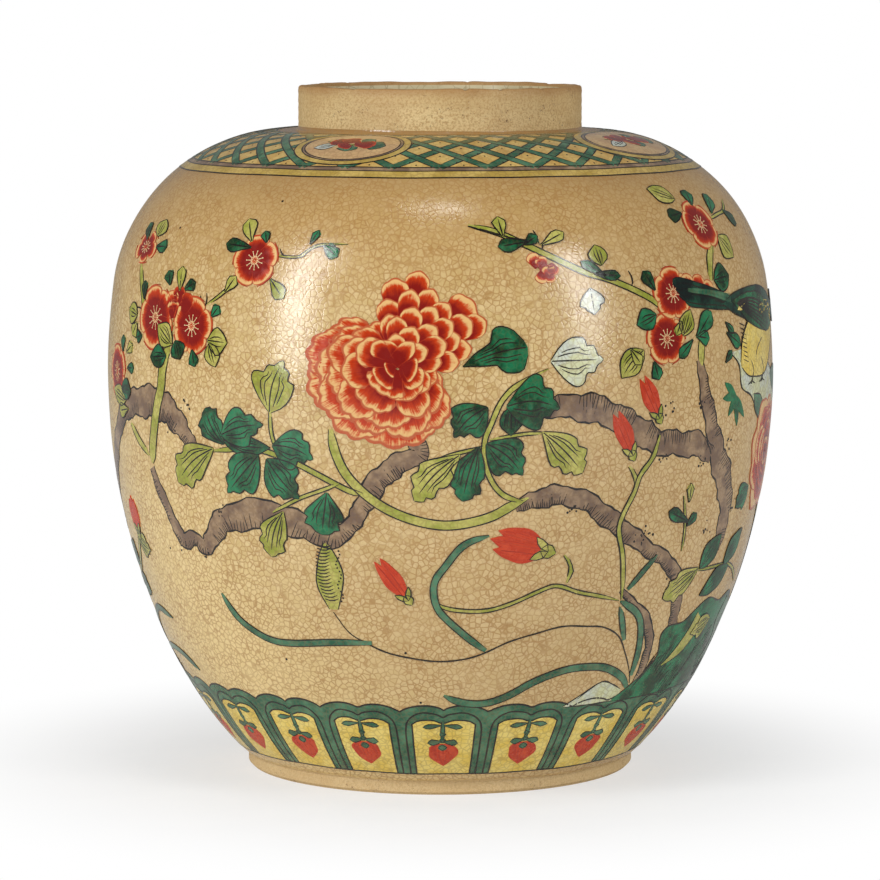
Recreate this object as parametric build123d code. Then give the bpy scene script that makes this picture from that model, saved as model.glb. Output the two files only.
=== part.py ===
"""A round stoneware ginger jar without its cover, in millimetres.

The pot is built as a potter builds it. Two thrown bowls are luted rim to rim with slip at the
belly, and a collar is luted into a seat cut in the shoulder. A crackled glaze coats the outside,
a thinner one the inside, and a third the underside within the foot ring. The collar and the foot
ring stay bare. The origin is the centre of the circle on which the foot ring rests, with +Z up
along the axis of the wheel.
"""

from build123d import *
from math import acos, asin, cos, radians, sin, sqrt
import os

# The outline of the glazed body: three tangent arcs, from the foot to the top of the shoulder.
MAX_DIAMETER = 225.0
MAX_DIAMETER_HEIGHT = 133.5
BELLY_ARC = 218.0
SHOULDER_ARC = 59.0
SHOULDER_ARC_STARTS = radians(8.2)
LOWER_ARC = 121.0
LOWER_ARC_STARTS = radians(26.0)

# Clay and glaze.
WALL = 5.0
OUTER_GLAZE = 0.5
INNER_GLAZE = 0.5

# Collar at the mouth.
NECK_DIAMETER = 95.4
NECK_HEIGHT = 15.0
NECK_WALL = 3.4
LIP_ROUND = 0.9
LIP_BARE = 1.4
COLLAR_SEAT_DEPTH = 1.6
TENON_SETBACK = 0.6
NECK_COVE = 1.2
NECK_ROOT_ROUND = 2.0

# Foot and floor.
FOOT_HEIGHT = 4.5
FOOT_SETBACK = 0.2
FOOT_RING_WIDTH = 7.0
FOOT_CHAMFER = 1.0
BASE_RECESS = 6.0
FLOOR = 7.0
FLOOR_CORNER = 14.0

# Slip that joins the thrown pieces.
SEAM_HEIGHT = 128.0
SLIP = 0.8
SEAM_BEAD = 1.4

# Centres of the three arcs, as (radius, height).
BELLY_CENTRE = (MAX_DIAMETER / 2 - BELLY_ARC, MAX_DIAMETER_HEIGHT)
SHOULDER_CENTRE = (
    BELLY_CENTRE[0] + (BELLY_ARC - SHOULDER_ARC) * cos(SHOULDER_ARC_STARTS),
    BELLY_CENTRE[1] + (BELLY_ARC - SHOULDER_ARC) * sin(SHOULDER_ARC_STARTS),
)
LOWER_CENTRE = (
    BELLY_CENTRE[0] + (BELLY_ARC - LOWER_ARC) * cos(LOWER_ARC_STARTS),
    BELLY_CENTRE[1] - (BELLY_ARC - LOWER_ARC) * sin(LOWER_ARC_STARTS),
)
SHOULDER_TOP = SHOULDER_CENTRE[1] + SHOULDER_ARC
NECK_OUT = NECK_DIAMETER / 2
NECK_IN = NECK_OUT - NECK_WALL
TENON_OUT = NECK_OUT - TENON_SETBACK
WALL_BELOW_MOUTH = 2 * WALL  # deeper than the shoulder is thick, so the two spaces join
REACH = MAX_DIAMETER + SHOULDER_TOP


def on_arc(centre, radius, angle):
    """The point of an arc at an angle above the horizontal."""
    return (centre[0] + radius * cos(angle), centre[1] + radius * sin(angle))


def arc_edge(centre, radius, start, end):
    """An arc in the plane of the outline, from one angle to another."""
    points = [on_arc(centre, radius, a) for a in (start, (start + end) / 2, end)]
    return ThreePointArc(*[(r, 0, z) for r, z in points])


def low_angle(inset, height):
    """The angle at which the lower arc, moved in by inset, crosses a height."""
    return -asin((LOWER_CENTRE[1] - height) / (LOWER_ARC - inset))


def outline_radius(inset, height):
    """The radius of the lower arc, moved in by inset, at a height."""
    return on_arc(LOWER_CENTRE, LOWER_ARC - inset, low_angle(inset, height))[0]


def seam_radius(inset):
    """The radius of the belly arc, moved in by inset, at the seam."""
    rise = SEAM_HEIGHT - BELLY_CENTRE[1]
    return BELLY_CENTRE[0] + sqrt((BELLY_ARC - inset) ** 2 - rise**2)


def shoulder_height(inset, radius):
    """The height of the shoulder, moved in by inset, at a radius; the top is flat inside the arc."""
    out = max(radius - SHOULDER_CENTRE[0], 0.0)
    return on_arc(SHOULDER_CENTRE, SHOULDER_ARC - inset, acos(out / (SHOULDER_ARC - inset)))[1]


def turned(edges):
    """The solid turned by a closed outline about the axis."""
    return revolve(make_face(edges), Axis.Z)


def body_form(inset, bottom):
    """The full body within the outline moved in by inset, cut flat at the bottom."""
    start = low_angle(inset, bottom)
    arcs = [
        arc_edge(LOWER_CENTRE, LOWER_ARC - inset, start, -LOWER_ARC_STARTS),
        arc_edge(BELLY_CENTRE, BELLY_ARC - inset, -LOWER_ARC_STARTS, SHOULDER_ARC_STARTS),
        arc_edge(SHOULDER_CENTRE, SHOULDER_ARC - inset, SHOULDER_ARC_STARTS, radians(90)),
    ]
    flat_top, foot = arcs[-1] @ 1, arcs[0] @ 0
    closing = Polyline(flat_top, (0, 0, flat_top.Z), (0, 0, foot.Z), foot)
    return turned(arcs + [closing])


def rod(radius, bottom, top):
    """An upright cylinder on the axis."""
    align = (Align.CENTER, Align.CENTER, Align.MIN)
    return Pos(0, 0, bottom) * Cylinder(radius, top - bottom, align=align)


def tube(inner, outer, bottom, top):
    """An upright ring on the axis."""
    return rod(outer, bottom, top) - rod(inner, bottom, top)


def slab(bottom, top):
    """Everything between two heights."""
    return rod(REACH, bottom, top)


def circles_at(solid, radius, height):
    """The circular edges of a solid at a radius and a height."""
    near = 0.01
    return [
        e
        for e in solid.edges().filter_by(GeomType.CIRCLE)
        if abs(e.radius - radius) < near and abs(e.arc_center.Z - height) < near
    ]


COLLAR_ROOT = shoulder_height(0, NECK_OUT)
RIM_HEIGHT = COLLAR_ROOT + NECK_HEIGHT
SEAT_HEIGHT = shoulder_height(OUTER_GLAZE, NECK_OUT) - COLLAR_SEAT_DEPTH
FOOT_OUT = outline_radius(OUTER_GLAZE, FOOT_HEIGHT) - FOOT_SETBACK
FOOT_IN = FOOT_OUT - FOOT_RING_WIDTH
FLOOR_HEIGHT = BASE_RECESS + FLOOR


def hollow(glaze):
    """The space inside the clay when glaze is 0, and inside a glaze of that thickness otherwise."""
    inset, floor = WALL + glaze, FLOOR_HEIGHT + glaze
    room = body_form(inset, floor)
    room = fillet(circles_at(room, outline_radius(inset, floor), floor), FLOOR_CORNER - glaze)
    mouth = NECK_IN - glaze
    room += rod(mouth, SHOULDER_TOP - WALL_BELOW_MOUTH, RIM_HEIGHT)
    root = circles_at(room, mouth, shoulder_height(inset, mouth))
    room = fillet(root, NECK_ROOT_ROUND + glaze)
    return room - seam_bead(glaze)


def seam_bead(glaze):
    """The ring of slip squeezed out inside the belly seam, thickened by a glaze."""
    return Pos(0, 0, SEAM_HEIGHT) * Torus(seam_radius(WALL), SEAM_BEAD + glaze)


def clay_wall():
    """Both thrown bowls and their floor as one, with the mouth and the collar's seat cut."""
    wall = body_form(OUTER_GLAZE, FOOT_HEIGHT) - hollow(0)
    return wall - rod(TENON_OUT, SEAT_HEIGHT, RIM_HEIGHT)


def foot_ring():
    """The turned ring that the jar stands on, with both of its lower edges bevelled."""
    ring = tube(FOOT_IN, FOOT_OUT, 0, BASE_RECESS)
    edges = circles_at(ring, FOOT_OUT, 0) + circles_at(ring, FOOT_IN, 0)
    return chamfer(edges, FOOT_CHAMFER)


def lower_body():
    """The lower bowl: floor, turned foot ring and wall up to the seam."""
    bowl = clay_wall() & slab(FOOT_HEIGHT, SEAM_HEIGHT - SLIP / 2)
    bowl -= rod(FOOT_IN, 0, BASE_RECESS)
    return bowl + foot_ring() - seam_bead(0)


def upper_body():
    """The upper bowl, thrown upside down: wall and shoulder, with the collar's seat."""
    return (clay_wall() & slab(SEAM_HEIGHT + SLIP / 2, RIM_HEIGHT)) - seam_bead(0)


def seam_slip():
    """Slip between the two bowls, with the bead that it leaves inside."""
    return (clay_wall() & slab(SEAM_HEIGHT - SLIP / 2, SEAM_HEIGHT + SLIP / 2)) + seam_bead(0)


def collar_slip():
    """Slip under the collar, in the seat cut in the shoulder."""
    return tube(NECK_IN, TENON_OUT, SEAT_HEIGHT, SEAT_HEIGHT + SLIP)


def neck_collar():
    """The collar: a ring with a rounded lip, over which the cover fits, and a pared-back foot."""
    ring = tube(NECK_IN, NECK_OUT, COLLAR_ROOT + NECK_COVE, RIM_HEIGHT)
    ring += tube(NECK_IN, TENON_OUT, SEAT_HEIGHT + SLIP, COLLAR_ROOT + NECK_COVE)
    lip = circles_at(ring, NECK_OUT, RIM_HEIGHT) + circles_at(ring, NECK_IN, RIM_HEIGHT)
    return fillet(lip, LIP_ROUND)


def outer_glaze():
    """The crackled glaze from the foot to the collar, with the cove where it pools at the neck."""
    skin = body_form(0, FOOT_HEIGHT) - body_form(OUTER_GLAZE, FOOT_HEIGHT)
    skin -= rod(TENON_OUT, SEAT_HEIGHT, RIM_HEIGHT)
    cove_top = COLLAR_ROOT + NECK_COVE
    cove = tube(TENON_OUT, NECK_OUT + NECK_COVE, COLLAR_ROOT, cove_top)
    cove -= Pos(0, 0, cove_top) * Torus(NECK_OUT + NECK_COVE, NECK_COVE)
    return skin + cove


def inner_glaze():
    """The glaze over the floor, the inner wall and the inside of the collar, short of the lip."""
    return (hollow(0) - hollow(INNER_GLAZE)) & slab(FLOOR_HEIGHT, RIM_HEIGHT - LIP_BARE)


def base_glaze():
    """The disc of glaze on the underside, within the foot ring."""
    return rod(FOOT_IN, BASE_RECESS - INNER_GLAZE, BASE_RECESS)


PIECES = (
    lower_body,
    upper_body,
    seam_slip,
    collar_slip,
    neck_collar,
    outer_glaze,
    inner_glaze,
    base_glaze,
)

os.makedirs("parts", exist_ok=True)
for piece in PIECES:
    export_step(piece(), f"parts/{piece.__name__}.step")
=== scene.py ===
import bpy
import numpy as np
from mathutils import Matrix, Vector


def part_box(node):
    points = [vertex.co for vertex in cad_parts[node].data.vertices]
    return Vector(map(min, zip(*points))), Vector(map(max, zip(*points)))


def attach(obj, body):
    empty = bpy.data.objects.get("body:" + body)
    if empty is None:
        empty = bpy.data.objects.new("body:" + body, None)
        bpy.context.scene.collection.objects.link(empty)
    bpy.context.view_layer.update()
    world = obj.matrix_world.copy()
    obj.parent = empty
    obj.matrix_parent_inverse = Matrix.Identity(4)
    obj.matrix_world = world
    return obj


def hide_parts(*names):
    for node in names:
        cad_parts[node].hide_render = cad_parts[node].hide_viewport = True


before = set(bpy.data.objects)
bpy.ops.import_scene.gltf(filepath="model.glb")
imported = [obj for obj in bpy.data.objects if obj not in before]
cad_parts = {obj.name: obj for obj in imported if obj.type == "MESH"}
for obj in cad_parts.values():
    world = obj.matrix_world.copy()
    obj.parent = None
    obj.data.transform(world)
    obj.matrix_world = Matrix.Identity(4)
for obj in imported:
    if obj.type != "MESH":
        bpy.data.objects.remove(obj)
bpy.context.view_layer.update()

# The finish of a crackle-glazed ginger jar: its glaze, its bare collar and foot, and the
# enamels painted on it. Lengths are in millimetres until a mesh is made. A place on the pot is
# (turn, climb): degrees round from the front, growing to the right, and millimetres along the
# outside, up from the lower edge of the glaze. Every painted stroke, leaf and petal is a thin
# closed piece of enamel that follows the pot and sinks a little into the glaze.

MM = 0.001

# The turned outline: three arcs that run into each other, then the flat seat of the collar.
glaze_low, glaze_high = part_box("outer_glaze")
collar_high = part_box("neck_collar")[1]
GLAZE_FOOT = glaze_low.z / MM
WIDEST = glaze_high.x / MM
COLLAR = collar_high.x / MM
RIM = collar_high.z / MM
WIDEST_HEIGHT = 133.5
BELLY_ARC, SHOULDER_ARC, LOWER_ARC = 218.0, 59.0, 121.0
SHOULDER_STARTS, LOWER_STARTS = np.radians(8.2), np.radians(26.0)
COLLAR_WALL = 3.4
COVE = 1.2
GLAZE = 0.5


def on_arc(centre, radius, angle):
    """The point of an arc at an angle above the horizontal, as (radius from the axis, height)."""
    return centre + radius * np.array([np.cos(angle), np.sin(angle)])


belly = np.array([WIDEST - BELLY_ARC, WIDEST_HEIGHT])
shoulder = on_arc(belly, BELLY_ARC - SHOULDER_ARC, SHOULDER_STARTS)
lower = on_arc(belly, BELLY_ARC - LOWER_ARC, -LOWER_STARTS)
foot_starts = np.arcsin((lower[1] - GLAZE_FOOT) / LOWER_ARC)
ARC_CENTRES = np.array([lower, belly, shoulder, shoulder])
ARC_RADII = np.array([LOWER_ARC, BELLY_ARC, SHOULDER_ARC, SHOULDER_ARC])
ARC_ANGLES = np.array([-foot_starts, -LOWER_STARTS, SHOULDER_STARTS, np.pi / 2])
ARC_CLIMBS = np.concatenate([[0.0], np.cumsum(ARC_RADII[:3] * np.diff(ARC_ANGLES))])
TOP = shoulder[1] + SHOULDER_ARC
SEAT = ARC_CLIMBS[3] + shoulder[0] - COLLAR
ALL_ROUND = np.linspace(-180, 180.2, 541)
DEGREE_AT_BELLY = 1.96


def outline(climb):
    """Radius, height and lean of the outline at a climb. On an arc the lean grows by climb over
    the arc's radius; past the last arc the outline runs level towards the axis."""
    climb = np.asarray(climb, float)
    arc = np.clip(np.searchsorted(ARC_CLIMBS, climb, side="right") - 1, 0, 3)
    past = climb - ARC_CLIMBS[arc]
    level = arc == 3
    lean = ARC_ANGLES[arc] + np.where(level, 0.0, past / ARC_RADII[arc])
    radius = ARC_CENTRES[arc, 0] + ARC_RADII[arc] * np.cos(lean) - np.where(level, past, 0.0)
    height = ARC_CENTRES[arc, 1] + ARC_RADII[arc] * np.sin(lean)
    return radius, height, lean


def thrown(turn, climb):
    """How far the wall stands proud of a true circle: two slow lobes and soft finger rings."""
    around = np.radians(turn)
    lobes = 0.22 * np.sin(2 * around + 0.7) + 0.08 * np.sin(3 * around + climb / 70)
    rings = 0.05 * np.sin(climb / 5.3 + 0.8 * np.sin(around)) + 0.04 * np.sin(climb / 9.1 - around)
    return lobes + rings


def round_axis(angle, radius, height):
    """Points at an angle round the axis from the front, a radius from it and a height."""
    return np.stack(np.broadcast_arrays(radius * np.sin(angle), -radius * np.cos(angle), height), -1)


def skin(turn, climb, lift):
    """Points lift millimetres off the pot's thrown surface, as (..., 3) in millimetres."""
    radius, height, lean = outline(climb)
    out = lift + thrown(turn, climb)
    reach = radius + out * np.cos(lean)
    return round_axis(np.radians(turn), reach, height + out * np.sin(lean))


def degree(climb):
    """Millimetres in one degree round the pot at a climb."""
    return np.radians(outline(climb)[0])


def scale_at(climb):
    """Millimetres in one degree round and in one millimetre up, as a pair."""
    return np.array([degree(climb), 1.0])


def level(climb, *turns):
    """Places side by side at one climb."""
    return [(turn, climb) for turn in turns]


# ---------------------------------------------------------------- making meshes


def finish_mesh(name, points, faces_of, loops, uv, tone, material, slot, sharp=35.0):
    """Puts arrays into a mesh: points, corners of all faces in a row, and corners per face."""
    mesh = bpy.data.meshes.new(name)
    mesh.vertices.add(len(points))
    mesh.vertices.foreach_set("co", (points * MM).astype(np.float32).ravel())
    mesh.loops.add(len(loops))
    mesh.loops.foreach_set("vertex_index", loops.astype(np.int32))
    mesh.polygons.add(len(faces_of))
    starts = np.concatenate([[0], np.cumsum(faces_of)[:-1]]).astype(np.int32)
    mesh.polygons.foreach_set("loop_start", starts)
    mesh.polygons.foreach_set("loop_total", faces_of.astype(np.int32))
    layer = mesh.uv_layers.new(name="brushed")
    layer.data.foreach_set("uv", uv[loops].astype(np.float32).ravel())
    shade = mesh.attributes.new("tone", "FLOAT", "POINT")
    shade.data.foreach_set("value", tone.astype(np.float32))
    mesh.update(calc_edges=True)
    mesh.validate()
    mesh.polygons.foreach_set("use_smooth", np.ones(len(mesh.polygons), bool))
    mesh.set_sharp_from_angle(angle=np.radians(sharp))
    mesh.materials.append(material)
    piece = bpy.data.objects.new(name, mesh)
    bpy.context.scene.collection.objects.link(piece)
    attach(piece, "root")
    return piece


def closed_rings(name, points, material, slot):
    """A mesh of points[turn, place on a closed outline], joined round the axis and round the
    outline."""
    turns, count = points.shape[:2]
    i, j = np.meshgrid(np.arange(turns), np.arange(count), indexing="ij")
    after, side = (i + 1) % turns, (j + 1) % count
    quads = np.stack([i * count + j, after * count + j, after * count + side, i * count + side], -1)
    uv = np.stack([i / turns, j / count], -1).reshape(-1, 2)
    return finish_mesh(name, points.reshape(-1, 3), np.full(quads.size // 4, 4), quads.ravel(),
                       uv, np.full(len(uv), 0.5), material, slot, sharp=60.0)


def smooth(points, count):
    """A curve through given points: between two of them it is a cubic whose slope at each
    point is half the step from the point before to the point after."""
    points = np.asarray(points, float)
    first, last = 2 * points[0] - points[1], 2 * points[-1] - points[-2]
    padded = np.vstack([first, points, last])
    at = np.linspace(0, len(points) - 1, count)
    i = np.minimum(at.astype(int), len(points) - 2)
    t = (at - i)[:, None]
    before, here, after, beyond = padded[i], padded[i + 1], padded[i + 2], padded[i + 3]
    slope, curve = after - before, 2 * before - 5 * here + 4 * after - beyond
    twist = 3 * here - before - 3 * after + beyond
    return here + 0.5 * t * (slope + t * (curve + t * twist))


def shape(pairs, at):
    """A smooth half outline given by a few (place along, share of half width) pairs."""
    curve = smooth(pairs, 60)
    order = np.maximum.accumulate(curve[:, 0])
    return np.maximum(np.interp(at, order, curve[:, 1]), 0.0)


# ---------------------------------------------------------------- the brush

# How far enamel sinks into the glaze, the height of its first coat and of each layer after it,
# how far a drawn line stands over its layer, and the length of a cell of a stroke and a strip.
SUNK = 0.22
FIRST_COAT = 0.04
COAT = 0.045
LINE_RISE = 0.022
STROKE_STEP = 1.5
STRIP_STEP = 2.0

# Half outlines of leaves and buds: (share of the length, share of the half width).
FORMS = {
    "lobed": [(0, 0.05), (0.1, 0.6), (0.26, 0.96), (0.42, 1.0), (0.52, 0.86), (0.57, 0.6),
              (0.62, 0.55), (0.72, 0.55), (0.79, 0.42), (0.83, 0.22), (0.92, 0.15), (1, 0.01)],
    "arrow": [(0, 0.3), (0.06, 0.8), (0.2, 1.0), (0.36, 0.92), (0.45, 0.55), (0.52, 0.46),
              (0.75, 0.27), (1, 0.01)],
    "fringed": [(0, 0.05), (0.12, 0.36), (0.3, 0.74), (0.44, 0.88), (0.52, 0.7), (0.57, 0.68),
                (0.68, 0.84), (0.76, 0.62), (0.8, 0.42), (0.86, 0.46), (0.93, 0.26), (1, 0.02)],
    "ovate": [(0, 0.04), (0.15, 0.62), (0.4, 1.0), (0.65, 0.84), (0.85, 0.42), (1, 0.01)],
    "drop": [(0, 0.12), (0.2, 0.38), (0.5, 0.86), (0.75, 1.0), (0.93, 0.62), (1, 0.05)],
    "round": [(0, 0.1), (0.1, 0.6), (0.35, 0.96), (0.6, 1.0), (0.85, 0.7), (1, 0.1)],
    "bud": [(0, 0.35), (0.25, 0.85), (0.5, 1.0), (0.78, 0.66), (1, 0.03)],
    "fruit": [(0, 0.3), (0.12, 0.86), (0.35, 1.0), (0.6, 0.86), (0.85, 0.4), (1, 0.02)],
    "fan": [(0, 0.3), (0.3, 0.6), (0.6, 0.9), (0.85, 1.0), (0.95, 0.8), (1, 0.4)],
}
FORWARD = {"lobed": 0.36, "arrow": 0.25, "fringed": 0.3, "ovate": 0.1, "round": 0.05}


def rightward(path):
    """One millimetre to the right of a path at each of its places, as (degrees, millimetres)."""
    scale = degree(path[:, 1])
    step = np.gradient(path, axis=0) * np.stack([scale, np.ones(len(path))], -1)
    step /= np.linalg.norm(step, axis=1, keepdims=True) + 1e-9
    return np.stack([step[:, 1] / scale, -step[:, 0]], -1)


def path_length(path):
    """Length of a path of places in millimetres."""
    path = np.asarray(path, float)
    step = np.diff(path[:, :2], axis=0)
    scale = degree((path[1:, 1] + path[:-1, 1]) / 2)
    return float(np.hypot(step[:, 0] * scale, step[:, 1]).sum())


def ribbon(path, left, right, cells=1):
    """Places across a strip: at each place of the path it runs from left millimetres on one side
    to right millimetres on the other, in that many cells."""
    u = np.linspace(-1, 1, cells + 1)[None, :]
    side = np.where(u < 0, u * np.reshape(left, (-1, 1)), u * np.reshape(right, (-1, 1)))
    return path[:, None, :] + side[..., None] * rightward(path)[:, None, :]


class Painting:
    """One side of the decoration. turned and hand place it on the pot; its enamels gather in
    pots by name, and fire() makes each pot one mesh."""

    def __init__(self, name, turned=0.0, hand=1, seed=3):
        self.name, self.turned, self.hand = name, turned, hand
        self.random = np.random.default_rng(seed)
        self.pots = {}

    def enamel(self, pot, grid, lift, tone=None, uv=None):
        """A thin closed piece. grid[along, across] holds its places and lift its height over
        the glaze; its sides drop straight into the glaze, and its underside is sunk."""
        rows, cells = grid.shape[:2]
        turn, climb = self.turned + self.hand * grid[..., 0], grid[..., 1]
        lift = np.broadcast_to(np.asarray(lift, float), (rows, cells))
        if uv is None:
            v, u = np.meshgrid(np.linspace(0, 1, rows), np.linspace(0, 1, cells), indexing="ij")
            uv = np.stack([u, v], -1)
        across_t, across_c = np.diff(turn, axis=1)[:-1], np.diff(climb, axis=1)[:-1]
        along_t, along_c = np.diff(turn, axis=0)[:, :-1], np.diff(climb, axis=0)[:, :-1]
        if (across_t * along_c - across_c * along_t).sum() < 0:
            turn, climb, lift, uv = turn[:, ::-1], climb[:, ::-1], lift[:, ::-1], uv[:, ::-1]
        sides = [-1, 0]
        top = skin(turn, climb, lift)
        under = skin(turn[:, sides], climb[:, sides], -SUNK)
        ring = np.concatenate([top, under], axis=1)
        ring_uv = np.concatenate([uv, uv[:, sides]], axis=1)
        tone = self.random.random() if tone is None else tone
        self.pots.setdefault(pot, []).append((ring, ring_uv, tone))

    def fire(self, pot, material, slot):
        """All the enamel in a pot as one mesh: rings joined by quads, with a cap at each end."""
        points, loops, faces, uvs, tones = [], [], [], [], []
        start = 0
        for ring, uv, tone in self.pots[pot]:
            rows, count = ring.shape[:2]
            i, j = np.meshgrid(np.arange(rows - 1), np.arange(count), indexing="ij")
            side = (j + 1) % count
            quads = np.stack([i * count + j, i * count + side, (i + 1) * count + side,
                              (i + 1) * count + j], -1).reshape(-1)
            caps = np.concatenate([np.arange(count)[::-1], (rows - 1) * count + np.arange(count)])
            loops += [quads + start, caps + start]
            faces += [np.full(quads.size // 4, 4), np.array([count, count])]
            points.append(ring.reshape(-1, 3))
            uvs.append(uv.reshape(-1, 2))
            tones.append(np.full(rows * count, tone))
            start += rows * count
        arrays = [np.concatenate(rows) for rows in (points, faces, loops, uvs, tones)]
        finish_mesh(f"{self.name}_{pot}", *arrays, material, slot)

    def lift(self, layer):
        """Height over the glaze of a layer of enamel."""
        return FIRST_COAT + COAT * layer

    def stroke(self, points, width, layer, pot="black", ends=(0.35, 0.25), wave=0.12):
        """A drawn line: it swells from ends[0] of its width, wavers a little, and thins out."""
        length = path_length(points)
        count = int(np.clip(length / STROKE_STEP, 4, 90))
        path = smooth(points, count)[:, :2]
        t = np.linspace(0, 1, count)
        swell = np.minimum(1, ends[0] + (1 - ends[0]) * t / 0.15)
        thin = np.minimum(1, ends[1] + (1 - ends[1]) * (1 - t) / 0.2)
        half = width / 2 * swell * thin * (1 + wave * np.sin(0.9 * length * t + 7 * t[0] + length))
        self.enamel(pot, ribbon(path, half, half), self.lift(layer) + LINE_RISE)

    def dab(self, place, size, layer, pot="black"):
        """A round dab of the brush: half widths follow half a circle."""
        t = np.linspace(-0.97, 0.97, 6)
        aside = np.array([1.0 / degree(place[1]), 0.0])
        path = np.asarray(place, float) + t[:, None] * aside * size / 2
        half = size / 2 * np.sqrt(1 - t * t) + 0.02
        self.enamel(pot, ribbon(path, half, half), self.lift(layer) + LINE_RISE)

    def strip(self, points, width, pot, layer, edge=0.4, ends=(0.4, 0.2), tone=None):
        """A stem or blade: a ribbon of enamel whose width follows the third value of its points,
        if they have one, with a drawn line along each edge."""
        length = path_length(points)
        path = smooth(points, int(np.clip(length / STRIP_STEP, 6, 90)))
        t = np.linspace(0, 1, len(path))
        half = path[:, 2] * width / 2 if path.shape[1] > 2 else np.full(len(path), width / 2)
        half = half * np.minimum(1, ends[0] + (1 - ends[0]) * t / 0.08)
        half = half * np.minimum(1, ends[1] + (1 - ends[1]) * (1 - t) / 0.12)
        grid = ribbon(path[:, :2], half, half, 2)
        self.enamel(pot, grid, self.lift(layer), tone)
        for side, first in ((0, 1), (-1, 0)):
            self.stroke(grid[first:, side][::2], edge, layer, ends=(0.5, 0.3))

    def leaf(self, base, tip, width, pot="green", form="lobed", layer=4, bend=0.0, veins=2,
             tone=None, line=0.42):
        """A leaf: across from its midrib by u times its half outline, and forward with |u| so
        that its lobes point on. bend bows the midrib. veins is how many pairs of side veins are
        drawn, and below nought it leaves out the midrib as well."""
        base, tip = np.asarray(base, float), np.asarray(tip, float)
        metric = scale_at((base[1] + tip[1]) / 2)
        chord = (tip - base) * metric
        length = np.linalg.norm(chord)
        ahead = chord / length
        aside = np.array([ahead[1], -ahead[0]])
        phase = self.random.random() * 6.28
        rib = bend * width
        forward = FORWARD.get(form, 0.0)

        def place(t, u):
            """Where share t along the leaf and u of its half width across lies."""
            half = width / 2 * shape(FORMS[form], t)
            half = half * (1 + 0.07 * np.sin(9 * t + phase + 2 * np.sign(u)))
            side = u * half + rib * np.sin(np.pi * t)
            along = length * t * (1 - forward * 0.1) + forward * np.abs(u) * half
            return base + (along[..., None] * ahead + side[..., None] * aside) / metric

        rows = int(np.clip(length / 0.75, 7, 26))
        t = np.linspace(0, 1, rows)[:, None]
        u = np.linspace(-1, 1, 5 if width < 7 else 9)[None, :]
        grid = place(t + 0 * u, u + 0 * t)
        crown = 0.012 * (1 - u**2)
        self.enamel(pot, grid, self.lift(layer) + crown, tone)
        if line:
            for side in (0, -1):
                self.stroke(grid[:, side], line, layer, ends=(0.5, 0.5))
            down = np.linspace(0.02, 0.86, 7)
            if veins >= 0:
                self.stroke(place(down, 0 * down), line * 1.15, layer, ends=(0.8, 0.2))
            for k in range(1, veins + 1):
                for hand in (-1, 1):
                    reach = np.linspace(0.05 + 0.05 * k, 0.8 - 0.06 * k, 6)
                    spread = hand * (0.16 + 0.26 * k) * (0.55 + 0.6 * reach)
                    self.stroke(place(reach, spread), line * 0.95, layer, ends=(0.6, 0.15))

    def petal(self, base, rim, width, pot, lift, scallops=0, root=0.4, drop=0.3, tone=None,
              cells=4):
        """A petal: v runs from its base to its rim and u, the sine of a swing, across. Its half
        width grows with v, and its rim falls back as a circle does, notched by |cosine|."""
        base, rim = np.asarray(base, float), np.asarray(rim, float)
        metric = scale_at((base[1] + rim[1]) / 2)
        chord = (rim - base) * metric
        length = np.linalg.norm(chord)
        ahead = chord / length
        aside = np.array([ahead[1], -ahead[0]])
        count = 11 if width < 9 else 21
        swing = np.linspace(-np.pi / 2, np.pi / 2, count)[:, None]
        u = np.sin(swing)
        v = np.linspace(0, 1, cells + 1)[None, :]
        side = u * width / 2 * (root + (1 - root) * v**0.6)
        wave = -0.05 * (1 - np.abs(np.cos(scallops * swing))) * v**2 if scallops else 0 * u * v
        along = length * (v * (1 - drop * (1 - np.cos(swing)) * v) + wave)
        grid = base + (along[..., None] * ahead + side[..., None] * aside) / metric
        uv = np.stack(np.broadcast_arrays((u + 1) / 2, v + 0 * u), -1)
        self.enamel(pot, grid, lift, tone, uv)
        return grid

    def branch(self, points, layer, shade, seed):
        """A gnarled branch: a ribbon whose two sides swell by their own sums of sines, with drawn
        edges and short hatching from the shaded side (1 right, -1 left) that comes and goes."""
        length = path_length(points)
        path = smooth(points, int(np.clip(length / 1.7, 8, 90)))
        along = np.linspace(0, length, len(path))
        gnarl = [1 + 0.13 * np.sin(along * 0.55 + seed + k) + 0.09 * np.sin(along * 1.3 + 2 * k + seed)
                 for k in (0, 2)]
        width = path[:, 2]
        left, right = width / 2 * gnarl[0], width / 2 * gnarl[1]
        grid = ribbon(path[:, :2], left, right, 4)
        self.enamel("aubergine", grid, self.lift(layer) + 0.02 * np.array([0, 1, 1.2, 1, 0]))
        for side in (0, -1):
            self.stroke(grid[:, side], 0.55, layer, wave=0.35, ends=(0.5, 0.4))
        edge = -1 if shade > 0 else 0
        for at in np.arange(1.0, length - 1.0, 0.95):
            if np.sin(at * 0.23 + 1.7 * seed) > 0.75:
                continue
            k = at / length * (len(path) - 1)
            i = min(int(k), len(path) - 2)
            row = grid[i] + (k - i) * (grid[i + 1] - grid[i])
            reach = 0.25 + 0.45 * self.random.random()
            inner = row[edge] + (row[2] - row[edge]) * 2 * reach
            lag = (grid[i + 1, 2] - grid[i, 2]) * (self.random.random() - 0.2) * 0.6
            self.stroke([row[edge], (row[edge] + inner) / 2 + lag / 2, inner + lag], 0.3, layer,
                        ends=(1, 0.3))

    def moss(self, place, spread=2.4):
        """Moss: a little cluster of seven round dots."""
        for _ in range(7):
            off = self.random.uniform(-1, 1, 2) * spread / scale_at(place[1])
            self.dab(np.array(place) + off, self.random.uniform(0.5, 0.85), 1)

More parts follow.
